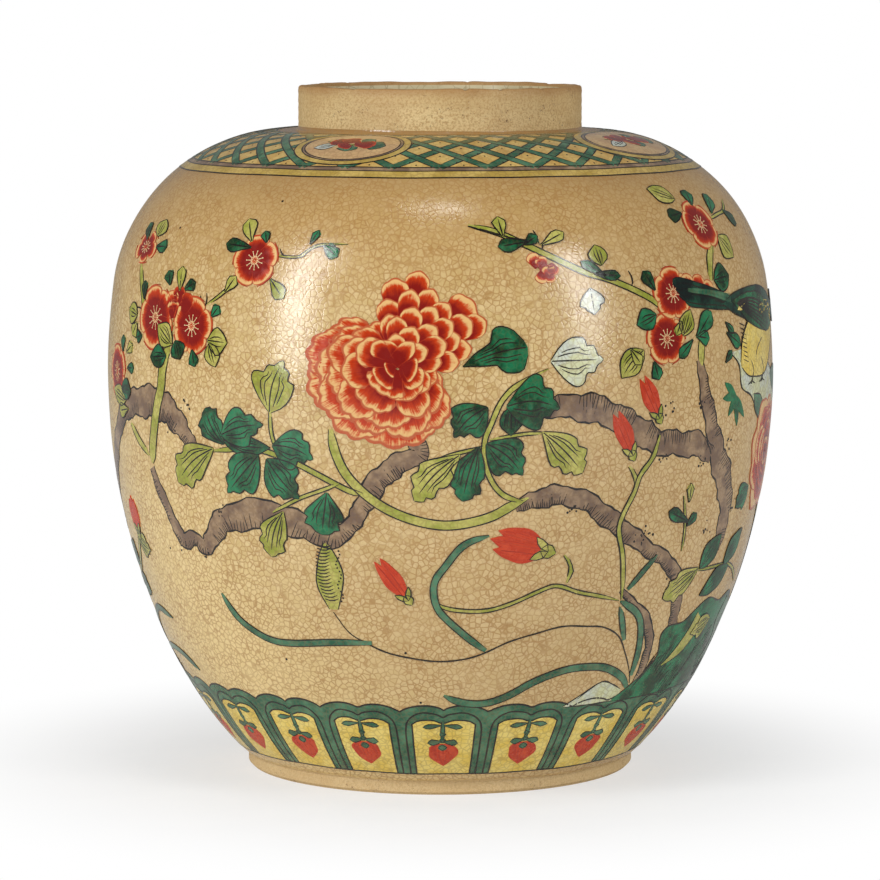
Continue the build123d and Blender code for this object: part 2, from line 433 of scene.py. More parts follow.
    def blossom(self, centre, radius, spin, face=(1.0, 1.0), layer=5):
        """A prunus blossom: five petals about a pale eye with fine stamens; face squeezes it."""
        centre = np.asarray(centre, float)
        metric = scale_at(centre[1]) / np.asarray(face, float)
        lift = self.lift(layer)
        angles = np.radians(spin) + 2 * np.pi * np.arange(5) / 5
        for k, angle in enumerate(angles):
            way = np.array([np.cos(angle), np.sin(angle)])
            base, rim = centre + 0.12 * radius * way / metric, centre + radius * way / metric
            self.petal(base, rim, radius * 1.02 * min(face), "blossoms", lift + 0.012 * (k % 2),
                       root=0.3, drop=0.36, tone=0.62 + 0.06 * (k % 3))
            aside = np.array([-way[1], way[0]])
            turnback = [centre + radius * (0.93 * way + 0.42 * aside * q) / metric for q in (-1, 0, 1)]
            turnback[1] = centre + 1.02 * radius * way / metric
            self.stroke(turnback, 0.35, layer, pot="red_lines", ends=(0.3, 0.3))
        self.dab(centre, radius * 0.34 * min(face), layer + 1, pot="cream")
        for angle in np.linspace(0, 2 * np.pi, 11, endpoint=False) + 0.3:
            way = np.array([np.cos(angle), np.sin(angle)]) / metric
            self.stroke([centre + 0.06 * radius * way, centre + 0.2 * radius * way,
                         centre + 0.33 * radius * way], 0.24, layer + 1, pot="cream", ends=(1, 0.8))
            self.dab(centre + 0.36 * radius * way, 0.42, layer + 1, pot="cream")
            self.stroke([centre + 0.02 * radius * way, centre + 0.1 * radius * way,
                         centre + 0.18 * radius * way], 0.24, layer + 2, pot="red_lines")

    def bud(self, tip, base, width, lobes, layer=5):
        """A bud of one to three red lobes fanned from a green calyx, with pointed sepals."""
        tip, base = np.asarray(tip, float), np.asarray(base, float)
        metric = scale_at(base[1])
        way = (tip - base) * metric
        length = np.linalg.norm(way)
        way /= length
        aside = np.array([way[1], -way[0]])
        for k in range(lobes):
            off = k - (lobes - 1) / 2
            end = tip + (off * width * 0.42 * aside - abs(off) * 0.1 * length * way) / metric
            start = base + off * width * 0.2 * aside / metric
            self.leaf(start, end, width * (0.78 if lobes > 1 else 1), "red_buds", "bud", layer,
                      bend=0.1 * off, veins=-1, line=0)
            self.stroke([start, (start + end) / 2, end], 0.3, layer, pot="red_lines")
        heart = base - 0.1 * length * way / metric
        for off in (-1, 1):
            end = base + (0.52 * width * off * aside + 0.45 * width * way) / metric
            self.leaf(heart, end, width * 0.36, "lime", "ovate", layer + 1, veins=-1, line=0.38)
        foot = heart - 0.36 * width * way / metric
        self.leaf(foot, base + 0.12 * width * way / metric, width * 0.62, "lime", "round", layer + 1,
                  veins=-1, line=0.38)

    def facet(self, first, second, pot, layer, cells, tone=None):
        """A sheet of enamel between two paths, with a drawn line along each."""
        count = int(np.clip(max(path_length(first), path_length(second)) / 1.6, 5, 60))
        one, two = smooth(first, count)[:, :2], smooth(second, count)[:, :2]
        share = np.linspace(0, 1, cells + 1)[None, :, None]
        self.enamel(pot, one[:, None] * (1 - share) + two[:, None] * share, self.lift(layer), tone)
        for edge in (one, two):
            self.stroke(edge, 0.5, layer, wave=0.3)

    def ring(self, pot, low, high, lift, waver=0.15, tone=0.5):
        """A band all the way round; its edges waver a little. low and high may follow turn."""
        turn = ALL_ROUND
        shake = waver * (np.sin(np.radians(7 * turn)) + np.sin(np.radians(17 * turn + 40))) / 2
        under, over = low + shake, high + shake
        cells = int(np.ceil(np.max(over - under) / 2.0)) + 1
        share = np.linspace(0, 1, cells + 1)[None, :]
        climb = under[:, None] * (1 - share) + over[:, None] * share
        self.enamel(pot, np.stack([turn[:, None] + 0 * climb, climb], -1), lift, tone)

    def oval(self, centre, wide, high, pot, layer, line):
        """An oval of half sizes wide degrees and high millimetres, with a drawn edge."""
        u = np.sin(np.linspace(-np.pi / 2, np.pi / 2, 33))
        half = high * np.sqrt(np.maximum(1 - u * u, 0.0004))
        v = np.linspace(-1, 1, int(np.ceil(high)) + 2)[None, :]
        turn = centre[0] + wide * u[:, None] + 0 * v
        self.enamel(pot, np.stack([turn, centre[1] + half[:, None] * v], -1), self.lift(layer), 0.4)
        around = np.linspace(0.1, 2 * np.pi + 0.1, 60)
        edge = np.stack([centre[0] + wide * np.cos(around), centre[1] + high * np.sin(around)], -1)
        self.stroke(edge, line, layer, ends=(1, 1), wave=0.2)


# ---------------------------------------------------------------- finishes

FINE_CELLS = 540.0
FINE_WIDTH = 0.15


def colour(red, green, blue):
    """A colour in 0 to 255 display values, turned into the linear values a shader takes."""
    value = np.array([red, green, blue]) / 255
    linear = np.where(value > 0.04045, ((value + 0.055) / 1.055) ** 2.4, value / 12.92)
    return (*linear.tolist(), 1.0)


class Nodes:
    """A node tree that is written down node by node. An input is a socket or a plain value."""

    def __init__(self, tree):
        self.tree = tree

    def add(self, kind, inputs=None, **settings):
        """A node with its settings, and its inputs by name or number."""
        node = self.tree.nodes.new(kind)
        for name, value in settings.items():
            setattr(node, name, value)
        for key, value in (inputs or {}).items():
            if isinstance(value, bpy.types.NodeSocket):
                self.tree.links.new(value, node.inputs[key])
            else:
                node.inputs[key].default_value = value
        return node

    def math(self, operation, first, second=0.0, clamp=False):
        """One sum of two values."""
        node = self.add("ShaderNodeMath", {0: first, 1: second}, operation=operation)
        node.use_clamp = clamp
        return node.outputs[0]

    def ramp(self, value, low, high, start=0.0, end=1.0):
        """Runs smoothly from start at low to end at high."""
        node = self.add("ShaderNodeMapRange", {0: value, 1: low, 2: high, 3: start, 4: end})
        node.interpolation_type = "SMOOTHSTEP"
        return node.outputs[0]

    def mix(self, share, first, second):
        """A colour that share of the way goes from the first to the second."""
        node = self.add("ShaderNodeMix", data_type="RGBA")
        for socket, value in zip((node.inputs[0], node.inputs[6], node.inputs[7]),
                                 (share, first, second)):
            if isinstance(value, bpy.types.NodeSocket):
                self.tree.links.new(value, socket)
            else:
                socket.default_value = value
        return node.outputs[2]

    def stain(self, body, mask, share, tint):
        """A tint laid over the body where the mask is, by a share of the mask."""
        return self.mix(self.math("MULTIPLY", mask, share), body, colour(*tint))

    def noise(self, where, scale, detail=3.0, rough=0.55):
        """Cloudy noise, about 0.3 to 0.7."""
        return self.add("ShaderNodeTexNoise", {"Vector": where, "Scale": scale, "Detail": detail,
                                               "Roughness": rough}).outputs[0]

    def stretch(self, where, by):
        """Coordinates multiplied axis by axis."""
        return self.add("ShaderNodeVectorMath", {0: where, 1: by}, operation="MULTIPLY").outputs[0]

    def crackle(self, where, cells=FINE_CELLS, width=FINE_WIDTH):
        """The line and cell outputs of the crackle at a number of cells to the metre."""
        return self.add("ShaderNodeGroup", {"Where": where, "Cells": cells, "Width": width},
                        node_tree=bpy.data.node_groups["crackle"]).outputs

    def tone(self):
        """The tone that each piece of enamel carries."""
        return self.add("ShaderNodeAttribute", attribute_name="tone").outputs["Fac"]


def group(name, takes, gives):
    """A node group with named inputs (name, kind, value) and outputs (name, kind); gives its
    nodes, what it is given and what it puts out."""
    tree = bpy.data.node_groups.new(name, "ShaderNodeTree")
    for label, kind, value in takes:
        socket = tree.interface.new_socket(label, in_out="INPUT", socket_type="NodeSocket" + kind)
        if value is not None:
            socket.default_value = value
    for label, kind in gives:
        tree.interface.new_socket(label, in_out="OUTPUT", socket_type="NodeSocket" + kind)
    nodes = Nodes(tree)
    return nodes, nodes.add("NodeGroupInput").outputs, nodes.add("NodeGroupOutput").inputs


def make_crackle():
    """Crackle: the thin edges between the cells of a warped Voronoi pattern, some faint."""
    n, given, out = group(
        "crackle",
        [("Where", "Vector", None), ("Cells", "Float", 700.0), ("Width", "Float", 0.09)],
        [("Line", "Float"), ("Cell", "Float")],
    )
    warp = n.add("ShaderNodeTexNoise", {"Vector": given["Where"], "Scale": 330.0, "Detail": 2.0})
    centred = n.add("ShaderNodeVectorMath", {0: warp.outputs[1], 1: (0.5, 0.5, 0.5)},
                    operation="SUBTRACT")
    bent = n.add("ShaderNodeVectorMath", {0: centred.outputs[0], 1: (0.0006, 0.0006, 0.0006),
                                          2: given["Where"]}, operation="MULTIPLY_ADD")
    edges = n.add("ShaderNodeTexVoronoi", {"Vector": bent.outputs[0], "Scale": given["Cells"]},
                  feature="DISTANCE_TO_EDGE")
    cells = n.add("ShaderNodeTexVoronoi", {"Vector": bent.outputs[0], "Scale": given["Cells"]})
    near = n.math("DIVIDE", edges.outputs["Distance"], given["Width"])
    line = n.ramp(near, 0.0, 1.15, 1.0, 0.0)
    fade = n.ramp(n.noise(given["Where"], 95.0), 0.3, 0.62, 0.55, 1.0)
    n.tree.links.new(n.math("MULTIPLY", line, fade), out["Line"])
    tint = n.add("ShaderNodeSeparateColor", {0: cells.outputs["Color"]})
    n.tree.links.new(tint.outputs[0], out["Cell"])


def make_wash():
    """Enamel laid with a brush: thin where the tone is low and the noise is low, thick where
    it pooled; faint cracks of the glaze show through it."""
    n, given, out = group(
        "enamel_wash",
        [("Where", "Vector", None), ("Tone", "Float", 0.5), ("Line", "Float", 0.0),
         ("Thin", "Color", (1, 1, 1, 1)), ("Thick", "Color", (0, 0, 0, 1)),
         ("Crack", "Color", (0, 0, 0, 1)), ("Show", "Float", 0.25)],
        [("Color", "Color"), ("Roughness", "Float"), ("Height", "Float")],
    )
    broad = n.noise(given["Where"], 150.0, 3.0)
    fine = n.noise(given["Where"], 700.0, 4.0, 0.6)
    pool = n.math("ADD", n.ramp(broad, 0.34, 0.66, -0.2, 0.8), n.math("MULTIPLY", given["Tone"], 0.45))
    pool = n.math("ADD", pool, n.ramp(fine, 0.3, 0.7, -0.16, 0.16), True)
    laid = n.mix(pool, given["Thin"], given["Thick"])
    shown = n.math("MULTIPLY", given["Line"], given["Show"])
    n.tree.links.new(n.mix(shown, laid, given["Crack"]), out["Color"])
    n.tree.links.new(n.ramp(fine, 0.3, 0.7, 0.11, 0.22), out["Roughness"])
    n.tree.links.new(n.math("MULTIPLY", pool, 0.6), out["Height"])


make_crackle()
make_wash()


def new_finish(name):
    """A material with its own Principled shader; gives the material, its nodes, the shader and
    the object coordinates."""
    material = bpy.data.materials.new(name)
    material.use_nodes = True
    material.node_tree.nodes.clear()
    n = Nodes(material.node_tree)
    shader = n.add("ShaderNodeBsdfPrincipled")
    n.add("ShaderNodeOutputMaterial", {"Surface": shader.outputs[0]})
    where = n.add("ShaderNodeTexCoord").outputs["Object"]
    return material, n, shader, where


def set_shader(n, shader, base, rough, height=None, depth=0.0001, strength=0.3):
    """Links what varies and sets what doesn't; depth is the height of the bumps in metres."""
    n.tree.links.new(base, shader.inputs["Base Color"])
    if isinstance(rough, bpy.types.NodeSocket):
        n.tree.links.new(rough, shader.inputs["Roughness"])
    else:
        shader.inputs["Roughness"].default_value = rough
    if height is not None:
        bump = n.add("ShaderNodeBump", {"Height": height, "Distance": depth, "Strength": strength})
        n.tree.links.new(bump.outputs[0], shader.inputs["Normal"])


def crackle_glaze():
    """Buff glaze: mottled, browner and darker on the shoulder partly as a stain and partly as painted
    shade, darker towards the bottom and the right as painted shade, with stained cracks and iron specks.
    """
    material, n, shader, where = new_finish("crackle_glaze")
    fine = n.crackle(where)
    wide = n.crackle(where, 230.0, 0.03)
    parts = n.add("ShaderNodeSeparateXYZ", {0: where})
    patches = n.noise(where, 26.0, 4.0, 0.6)
    grain = n.noise(where, 900.0, 3.0, 0.6)
    body = n.mix(n.ramp(patches, 0.32, 0.68), colour(194, 167, 110), colour(208, 183, 128))
    body = n.mix(n.ramp(fine["Cell"], 0.1, 0.9, 0.0, 0.6), body, colour(226, 203, 154))
    body = n.mix(n.ramp(grain, 0.35, 0.65, 0.0, 0.3), body, colour(172, 134, 82))
    # Partly a stain and partly painted shade: the glaze turns browner and darker towards the shoulder,
    # where less light falls on the top.
    high = n.math("ADD", parts.outputs["Z"], n.math("MULTIPLY", patches, 0.03))
    body = n.mix(n.ramp(high, 0.165, 0.212, 0.0, 0.7), body, colour(172, 136, 80))
    body = n.mix(n.ramp(high, 0.205, 0.232, 0.0, 0.75), body, colour(142, 108, 64))
    # Painted shade: the glaze turns darker towards the bottom and the right side, where less light falls.
    low = n.ramp(n.math("SUBTRACT", parts.outputs["X"], parts.outputs["Z"]), -0.17, -0.06, 0.0, 0.5)
    body = n.mix(low, body, colour(194, 164, 116))
    yellow = n.ramp(n.math("ADD", parts.outputs["X"], parts.outputs["Z"]), 0.06, -0.03, 0.0, 0.55)
    body = n.mix(yellow, body, colour(232, 207, 146))
    body = n.stain(body, fine["Line"], 0.72, (158, 116, 62))
    body = n.stain(body, wide["Line"], 0.3, (146, 106, 62))
    specks = n.add("ShaderNodeTexVoronoi", {"Vector": where, "Scale": 62.0})
    sparse = n.add("ShaderNodeSeparateColor", {0: specks.outputs["Color"]})
    size = n.ramp(sparse.outputs[1], 0.86, 1.0, 0.0, 0.045)
    spot = n.math("LESS_THAN", specks.outputs["Distance"], size)
    body = n.stain(body, spot, 0.75, (70, 45, 28))
    rough = n.ramp(n.noise(where, 240.0), 0.3, 0.7, 0.15, 0.24)
    peel = n.noise(where, 420.0, 2.0)
    height = n.math("SUBTRACT", n.math("MULTIPLY", peel, 0.9), fine["Line"])
    set_shader(n, shader, body, rough, height, 0.00006, 0.35)
    return material


def wash_finish(name, thin, thick, show):
    """A see-through enamel laid over the crackle, which shows through it by a share."""
    material, n, shader, where = new_finish(name)
    wash = n.add("ShaderNodeGroup", {
        "Where": where, "Tone": n.tone(), "Line": n.crackle(where)["Line"], "Show": show,
        "Thin": colour(*thin), "Thick": colour(*thick), "Crack": colour(120, 90, 55),
    }, node_tree=bpy.data.node_groups["enamel_wash"]).outputs
    set_shader(n, shader, wash["Color"], wash["Roughness"], wash["Height"], 0.00008, 0.4)
    return material


def petal_red():
    """Iron red on petals: deep at the base, drawn out in hairs toward a buff rim that has a
    thin red line at its very edge. v of the petal's own map runs from base to rim."""
    material, n, shader, where = new_finish("iron_red_petals")
    brushed = n.add("ShaderNodeUVMap", uv_map="brushed").outputs[0]
    parts = n.add("ShaderNodeSeparateXYZ", {0: brushed})
    shifted = n.add("ShaderNodeVectorMath", {0: where, 1: (40.0, 40.0, 40.0),
                                             2: n.stretch(brushed, (44.0, 1.6, 1.0))},
                    operation="MULTIPLY_ADD")
    hairs = n.noise(shifted.outputs[0], 1.0, 3.0)
    drift = n.noise(where, 420.0, 3.0)
    aside = n.math("ABSOLUTE", n.math("SUBTRACT", n.math("MULTIPLY", parts.outputs["X"], 2.0), 1.0))
    up = n.math("ADD", parts.outputs["Y"], n.ramp(hairs, 0.3, 0.7, -0.045, 0.045))
    up = n.math("ADD", up, n.ramp(drift, 0.3, 0.7, -0.05, 0.05))
    up = n.math("ADD", up, n.math("MULTIPLY", n.math("SUBTRACT", n.tone(), 0.5), 0.4))
    up = n.math("ADD", up, n.ramp(aside, 0.55, 1.0, 0.0, 0.1))
    red = n.mix(n.ramp(up, 0.55, 0.9), colour(124, 10, 0), colour(188, 54, 0))
    body = n.mix(n.ramp(up, 0.82, 0.96), red, colour(216, 174, 112))
    rim = n.math("MAXIMUM", n.ramp(parts.outputs["Y"], 0.93, 0.965), n.ramp(aside, 0.94, 0.985))
    body = n.stain(body, rim, 0.85, (168, 52, 20))
    set_shader(n, shader, body, n.ramp(drift, 0.3, 0.7, 0.14, 0.26), hairs, 0.00004, 0.3)
    return material


def brushed_red():
    """Iron red laid thick, as on buds: streaks of the brush along the stroke."""
    material, n, shader, where = new_finish("iron_red_buds")
    brushed = n.add("ShaderNodeUVMap", uv_map="brushed").outputs[0]
    hairs = n.noise(n.stretch(brushed, (12.0, 1.6, 1.0)), 1.0, 4.0)
    drift = n.noise(where, 300.0, 3.0)
    body = n.mix(n.ramp(hairs, 0.3, 0.7), colour(164, 32, 2), colour(196, 60, 14))
    body = n.mix(n.ramp(drift, 0.45, 0.75, 0.0, 0.5), body, colour(212, 84, 42))
    set_shader(n, shader, body, n.ramp(drift, 0.3, 0.7, 0.2, 0.34), hairs, 0.00005, 0.3)
    return material


def clay_finish(name, pale, dark, speck, lip=None, bump=0.5):
    """Bare fired clay: fine grain, level turning lines, iron specks and a browned lip."""
    material, n, shader, where = new_finish(name)
    grain = n.noise(where, 1500.0, 4.0, 0.7)
    cloud = n.noise(where, 60.0, 4.0)
    lines = n.noise(n.stretch(where, (60.0, 60.0, 900.0)), 1.0, 3.0)
    parts = n.add("ShaderNodeSeparateXYZ", {0: where})
    height = n.math("ADD", parts.outputs["Z"], n.math("MULTIPLY", cloud, 0.004))
    body = n.mix(n.ramp(cloud, 0.3, 0.7, 0.0, 0.4), colour(*pale), colour(*dark))
    body = n.mix(n.ramp(grain, 0.45, 0.6, 0.0, 0.85), body, colour(*dark))
    body = n.mix(n.ramp(lines, 0.5, 0.75, 0.0, 0.4), body, colour(*dark))
    ragged = n.noise(where, 1100.0, 5.0, 0.75)
    patch = n.noise(where, 150.0, 2.0)
    spot = n.ramp(n.math("ADD", ragged, n.math("MULTIPLY", patch, 0.35)), 0.79, 0.86)
    body = n.stain(body, spot, 0.8, speck)
    if lip is not None:
        body = n.mix(n.ramp(height, (RIM - 10) * MM, RIM * MM, 0.0, 0.55), body, colour(*dark))
        browned = n.ramp(height, (RIM - 1.8) * MM, (RIM + 2.2) * MM, 0.0, 0.75)
        body = n.mix(browned, body, colour(*lip))
        body = n.mix(n.ramp(height, (TOP + 3.4) * MM, (TOP + 1.6) * MM, 0.0, 0.7), body, colour(*lip))
    rise = n.math("ADD", n.math("MULTIPLY", grain, 0.8), lines)
    rise = n.math("SUBTRACT", rise, n.math("MULTIPLY", spot, 0.5))
    set_shader(n, shader, body, n.ramp(grain, 0.3, 0.7, 0.55, 0.8), rise, 0.00022, bump)
    return material


def inner_glaze():
    """Thin greyish glaze inside: broader crackle, grey patches and patches of brown stain."""
    material, n, shader, where = new_finish("inner_glaze")
    wide = n.crackle(where, 260.0, 0.05)
    cloud = n.noise(where, 40.0, 4.0)
    body = n.mix(n.ramp(cloud, 0.3, 0.7), colour(196, 184, 146), colour(216, 204, 168))
    spots = n.ramp(n.noise(where, 170.0, 3.0), 0.62, 0.72, 0.0, 0.6)
    body = n.mix(spots, body, colour(160, 120, 78))
    body = n.stain(body, wide["Line"], 0.5, (140, 116, 78))
    set_shader(n, shader, body, n.ramp(cloud, 0.3, 0.7, 0.1, 0.18), wide["Line"],
               0.00005, 0.3)
    return material


# ---------------------------------------------------------------- the flowering spray


def tree_peony(p):
    """The great bloom: rings of scalloped petals about a dark heart, and a smaller head of
    scale-like petals above it. Each petal is (rim place, width); inner petals lie on outer."""
    heart = np.array([-6.8, 152.6])
    rings = [
        [((-7.5, 126), 27), ((-17.0, 131.5), 21), ((-22.0, 144), 20), ((-22.3, 156), 18),
         ((-18.0, 164), 15), ((0.2, 133), 16), ((0.4, 144), 10)],
        [((-13.0, 131.5), 18), ((-19.8, 139), 17), ((-20.6, 151), 17), ((-17.6, 161), 14),
         ((-12.5, 164.3), 14), ((-5.0, 129), 17), ((-0.4, 138), 13), ((-0.3, 148), 9)],
        [((-9.8, 132.5), 18), ((-16.0, 137.5), 15), ((-18.6, 147), 14), ((-18.6, 157), 13),
         ((-14.2, 162.8), 10), ((-3.0, 136), 11)],
        [((-12.2, 139), 15), ((-16.2, 150), 12), ((-16.0, 158), 10), ((-4.5, 141.5), 11),
         ((-1.6, 145), 8)],
        [((-9.6, 143.4), 14), ((-13.6, 158.5), 10), ((-2.8, 146.5), 8)],
        [((-10.0, 147), 9), ((-3.6, 150.6), 8), ((-11.0, 159.5), 6)],
        [((-8.6, 150.5), 5.5)],
    ]
    head = [
        [((-3.2, 182.4), 8), ((-7.4, 180), 9), ((5.6, 172.6), 11), ((7.6, 166.5), 8)],
        [((-8.8, 173.5), 8), ((-4.6, 176.6), 7), ((-1.0, 176.6), 7), ((1.6, 172), 7),
         ((5.3, 166.6), 8.5), ((5.2, 158), 7)],
        [((-8.4, 168.8), 7), ((-4.0, 171.0), 7.5), ((-0.6, 171), 6.5), ((2.2, 166.4), 7),
         ((3.4, 161.5), 7), ((3.2, 153.5), 7)],
        [((-7.0, 168.2), 7), ((-4.0, 164.8), 7), ((-0.4, 164.8), 7), ((1.2, 159.6), 7.5),
         ((0.4, 153.4), 7)],
        [((-7.2, 162.8), 6.5), ((-4.0, 160), 5.5), ((-1.8, 157.6), 6.5), ((-9.6, 160.2), 5.5)],
    ]
    for k, ring in enumerate(rings):
        for m, (rim, width) in enumerate(ring):
            rim = np.array(rim, float)
            base = heart + (rim - heart) * (0.12 if k < 5 else 0.3)
            scallops = 5 if width > 13 else 3
            p.petal(base, rim, width, "peony", p.lift(4) + 0.03 * k + 0.013 * (m % 2), scallops,
                    root=0.25, drop=0.4, cells=6, tone=0.42 + 0.04 * k + 0.05 * (m % 3))
    for k, ring in enumerate(head):
        for m, (rim, width) in enumerate(ring):
            rim = np.array(rim, float)
            way = heart + (0.0, 2.0) - rim
            size = np.linalg.norm(way * np.array([DEGREE_AT_BELLY, 1.0]))
            base = rim + way / size * 11.0
            p.petal(base, rim, width, "peony", p.lift(3.4) + 0.03 * k + 0.013 * (m % 2), 3,
                    root=0.6, drop=0.42, cells=6, tone=0.66 + 0.05 * (m % 3))


def peony_leaves(p):
    """Leaves on the stems about the bloom as (base, tip, width, layer, form, bow), with the
    depth of the green at the end of a dark one."""
    dark = [
        ((14.2, 158.0), (3.4, 152.0), 15, 5, "arrow", 0.08, 0.9),
        ((10.6, 139.5), (19.8, 138.5), 17, 5, "lobed", -0.12, 1.0),
        ((7.6, 139.5), (2.0, 129.6), 12.5, 4, "lobed", 0.1, 0.95),
        ((11.4, 139.5), (11.4, 130.2), 7.5, 4, "ovate", 0.0, 0.8),
        ((7.4, 128.0), (13.7, 117.2), 13, 4, "lobed", -0.1, 0.9),
        ((6.2, 127), (3.6, 109), 12.5, 5, "fringed", 0.05, 1.0),
        ((-28.3, 126), (-20.7, 122.0), 13, 4, "lobed", -0.1, 0.35),
        ((-29.5, 121.5), (-23.6, 108.6), 13.5, 4, "lobed", 0.05, 0.25),
        ((-18.8, 111.6), (-20.2, 97.2), 15, 5, "fringed", 0.0, 0.45),
        ((-38.0, 125), (-42.0, 136.5), 12, 4, "fringed", -0.1, 0.3),
        ((-38.6, 128.0), (-29.6, 132.5), 12.5, 5, "lobed", -0.08, 0.35),
        ((-38.2, 126.5), (-28.6, 125.0), 7, 4, "ovate", 0.1, 0.3),
        ((-31.0, 122.4), (-38.2, 108.8), 13.5, 5, "lobed", 0.0, 0.3),
    ]
    for base, tip, width, layer, form, bend, tone in dark:
        p.leaf(base, tip, width, "green", form, layer, bend, 2, tone)
    lime = [
        ((3.2, 124.5), (-4.4, 109.2), 12.5, 5, "fringed", 0.1),
        ((16.6, 131.2), (24.0, 117.2), 13.5, 5, "fringed", -0.05),
        ((-28.6, 136.2), (-26.0, 153.6), 15.5, 4, "lobed", -0.1),
        ((-40.4, 123.4), (-50.2, 110.4), 15, 5, "fringed", 0.1),
        ((-27.0, 104.5), (-30.4, 88.5), 12, 5, "fringed", 0.1),
        ((53.6, 81), (44.6, 71.6), 11, 5, "fringed", 0.0),
        ((66, 60), (58.4, 55.6), 9, 5, "lobed", 0.0),
        ((35.2, 155.6), (30.6, 147), 8.5, 5, "ovate", 0.1),
        ((44, 159), (46.2, 167.4), 7, 6, "ovate", 0.0),
        ((-50.5, 155.5), (-55.0, 161.5), 8, 7, "ovate", 0.0),
    ]
    for base, tip, width, layer, form, bend in lime:
        p.leaf(base, tip, width, "lime", form, layer, bend, 2)
    # Painted highlight: this leaf is painted pale to stand for the right window's reflection that whitens
    # it.
    p.leaf((18, 153.4), (27.6, 153.4), 15.5, "pale", "lobed", 5, 0.0, 2, tone=0.0)
    p.leaf((25.5, 176), (26.0, 167.2), 8.5, "pale", "lobed", 5, 0.0, 0, tone=1.0)


def stems(p):
    """Stems and twigs as (places, width, layer), grasses as (places, width), and the thin drawn
    lines of the ground and the twig ends."""
    lime = [
        ([(-17.8, 132), (-17.3, 126), (-15.5, 118), (-12, 111), (-8, 106), (-3, 102.6), (2, 101.6),
          (8, 104), (12, 108), (14.6, 110.2)], 3.0, 2),
        ([(13.6, 109), (10.6, 111), (8.5, 115.4), (7.2, 122), (7.2, 129), (8.2, 134), (9.8, 141),
          (12.6, 146.4), (17.6, 151)], 1.7, 3),
        ([(-40.6, 122.6), (-32, 124.4), (-25, 121.2), (-20, 117), (-15, 112.4), (-12.6, 111.6)], 1.8, 2),
        ([(-29, 104), (-24, 109), (-20, 112), (-16.6, 114.6)], 1.2, 3),
        ([(-28.6, 137.5), (-28.4, 130), (-27.4, 123.6)], 1.3, 2),
        ([(7, 127), (3, 125), (0, 123.6)], 1.1, 3), ([(8, 129), (13, 130.6), (17, 131)], 1.1, 3),
        ([(5, 197.6), (10, 195), (15, 190.4), (20, 185.6), (25, 181), (30, 178), (38, 171), (41, 165)],
         2.0, 2),
        ([(-51.5, 155), (-53, 148), (-53.5, 141), (-55, 134), (-57, 121), (-57.5, 115.6)], 4.2, 3),
        ([(-65, 127.4), (-62, 122.6), (-58.6, 118)], 2.4, 2),
        ([(-64.5, 180), (-62.4, 174), (-61, 168.6), (-60.6, 165)], 2.6, 2),
        ([(-36, 178.4), (-38, 174.8), (-39.8, 172.2), (-42.4, 169.4)], 1.1, 2),
        ([(-30, 186.4), (-25, 186), (-23.4, 188), (-21, 190.4), (-16, 190.8)], 0.8, 2),
        ([(53, 176), (54, 183), (56.5, 188)], 3.0, 3), ([(48.7, 158), (48.5, 154), (48.6, 149)], 3.2, 2),
        ([(60, 196.6), (64, 198), (68, 199), (72, 203)], 1.2, 2),
        ([(38.6, 128), (37.4, 121), (35, 115.6), (34, 110), (32.4, 104), (31.6, 98), (33, 90),
          (34, 81), (34.5, 73.6)], 1.7, 4),
        ([(32.6, 118.6), (34, 115), (34.6, 111)], 1.5, 3),
        ([(-1.5, 75.6), (2, 73), (8, 72.4), (13, 75), (18, 79), (21, 80.2), (25, 77.6), (30, 75.4),
          (34, 73.4)], 1.3, 3),
        ([(21.6, 90.6), (23.2, 86), (22.6, 81)], 1.4, 3),
        ([(45.5, 107), (47, 96), (47.2, 88)], 1.0, 3),
        ([(54, 80), (60, 80), (66, 79.4), (71, 76), (75, 71)], 1.2, 2),
    ]
    for points, width, layer in lime:
        p.strip(points, width, "lime", layer, edge=0.42)
    grass = [
        ([(-43.6, 74), (-41, 66), (-37, 61), (-33, 58.6), (-28, 58.6), (-20, 60), (-12.8, 60.4)], 2.3),
        ([(8.2, 98), (4, 95), (1, 88), (-1, 82), (-0.6, 74), (2, 68), (6, 61.4), (8.6, 58)], 2.2),
        ([(0.8, 41), (4, 38.4), (9, 37.6), (14, 40.4), (19, 45.4), (25, 49), (30, 49.6), (35, 48.4),
          (40, 44), (42.5, 39.6)], 2.6),
        ([(41, 88), (38, 82), (35.5, 77)], 2.0),
        ([(34.5, 71), (36, 65), (37.6, 58.4)], 2.0),
        ([(34.4, 73), (37.5, 70), (40, 66), (41.5, 60), (42.5, 52), (42.6, 44)], 2.4),
        ([(-19.4, 191), (-18, 188)], 1.6),
    ]
    for points, width in grass:
        p.strip(points, width, "teal", 4, edge=0.35, ends=(0.25, 0.6))
    ground = [
        [(-19.5, 71), (-17, 64), (-14, 60.4), (-10, 57), (-5, 55), (0, 54), (5, 55), (8.6, 57.2),
         (13, 61), (18, 63.6), (23, 65.6), (28, 65), (32, 64), (36, 60), (39, 53), (42, 45), (43, 41)],
        [(-67, 165.4), (-63, 166), (-60, 165.4)], [(5, 197.4), (8, 195.4), (12, 193.6)],
        [(7, 196.4), (12, 193.2), (16, 192)], [(16.6, 195.6), (17, 193.6), (17.4, 190.4)],
        [(18.6, 192), (18, 190.4), (17.6, 188.6)], [(33.4, 181), (34, 178), (33.6, 176)],
        [(-42.6, 173), (-42.4, 170.6), (-42.8, 168.4)], [(-44, 172), (-43.6, 169)],
        [(-28.6, 188.6), (-28, 186.8), (-27, 186.2)],
    ]
    for points in ground:
        p.stroke(points, 0.5, 3)


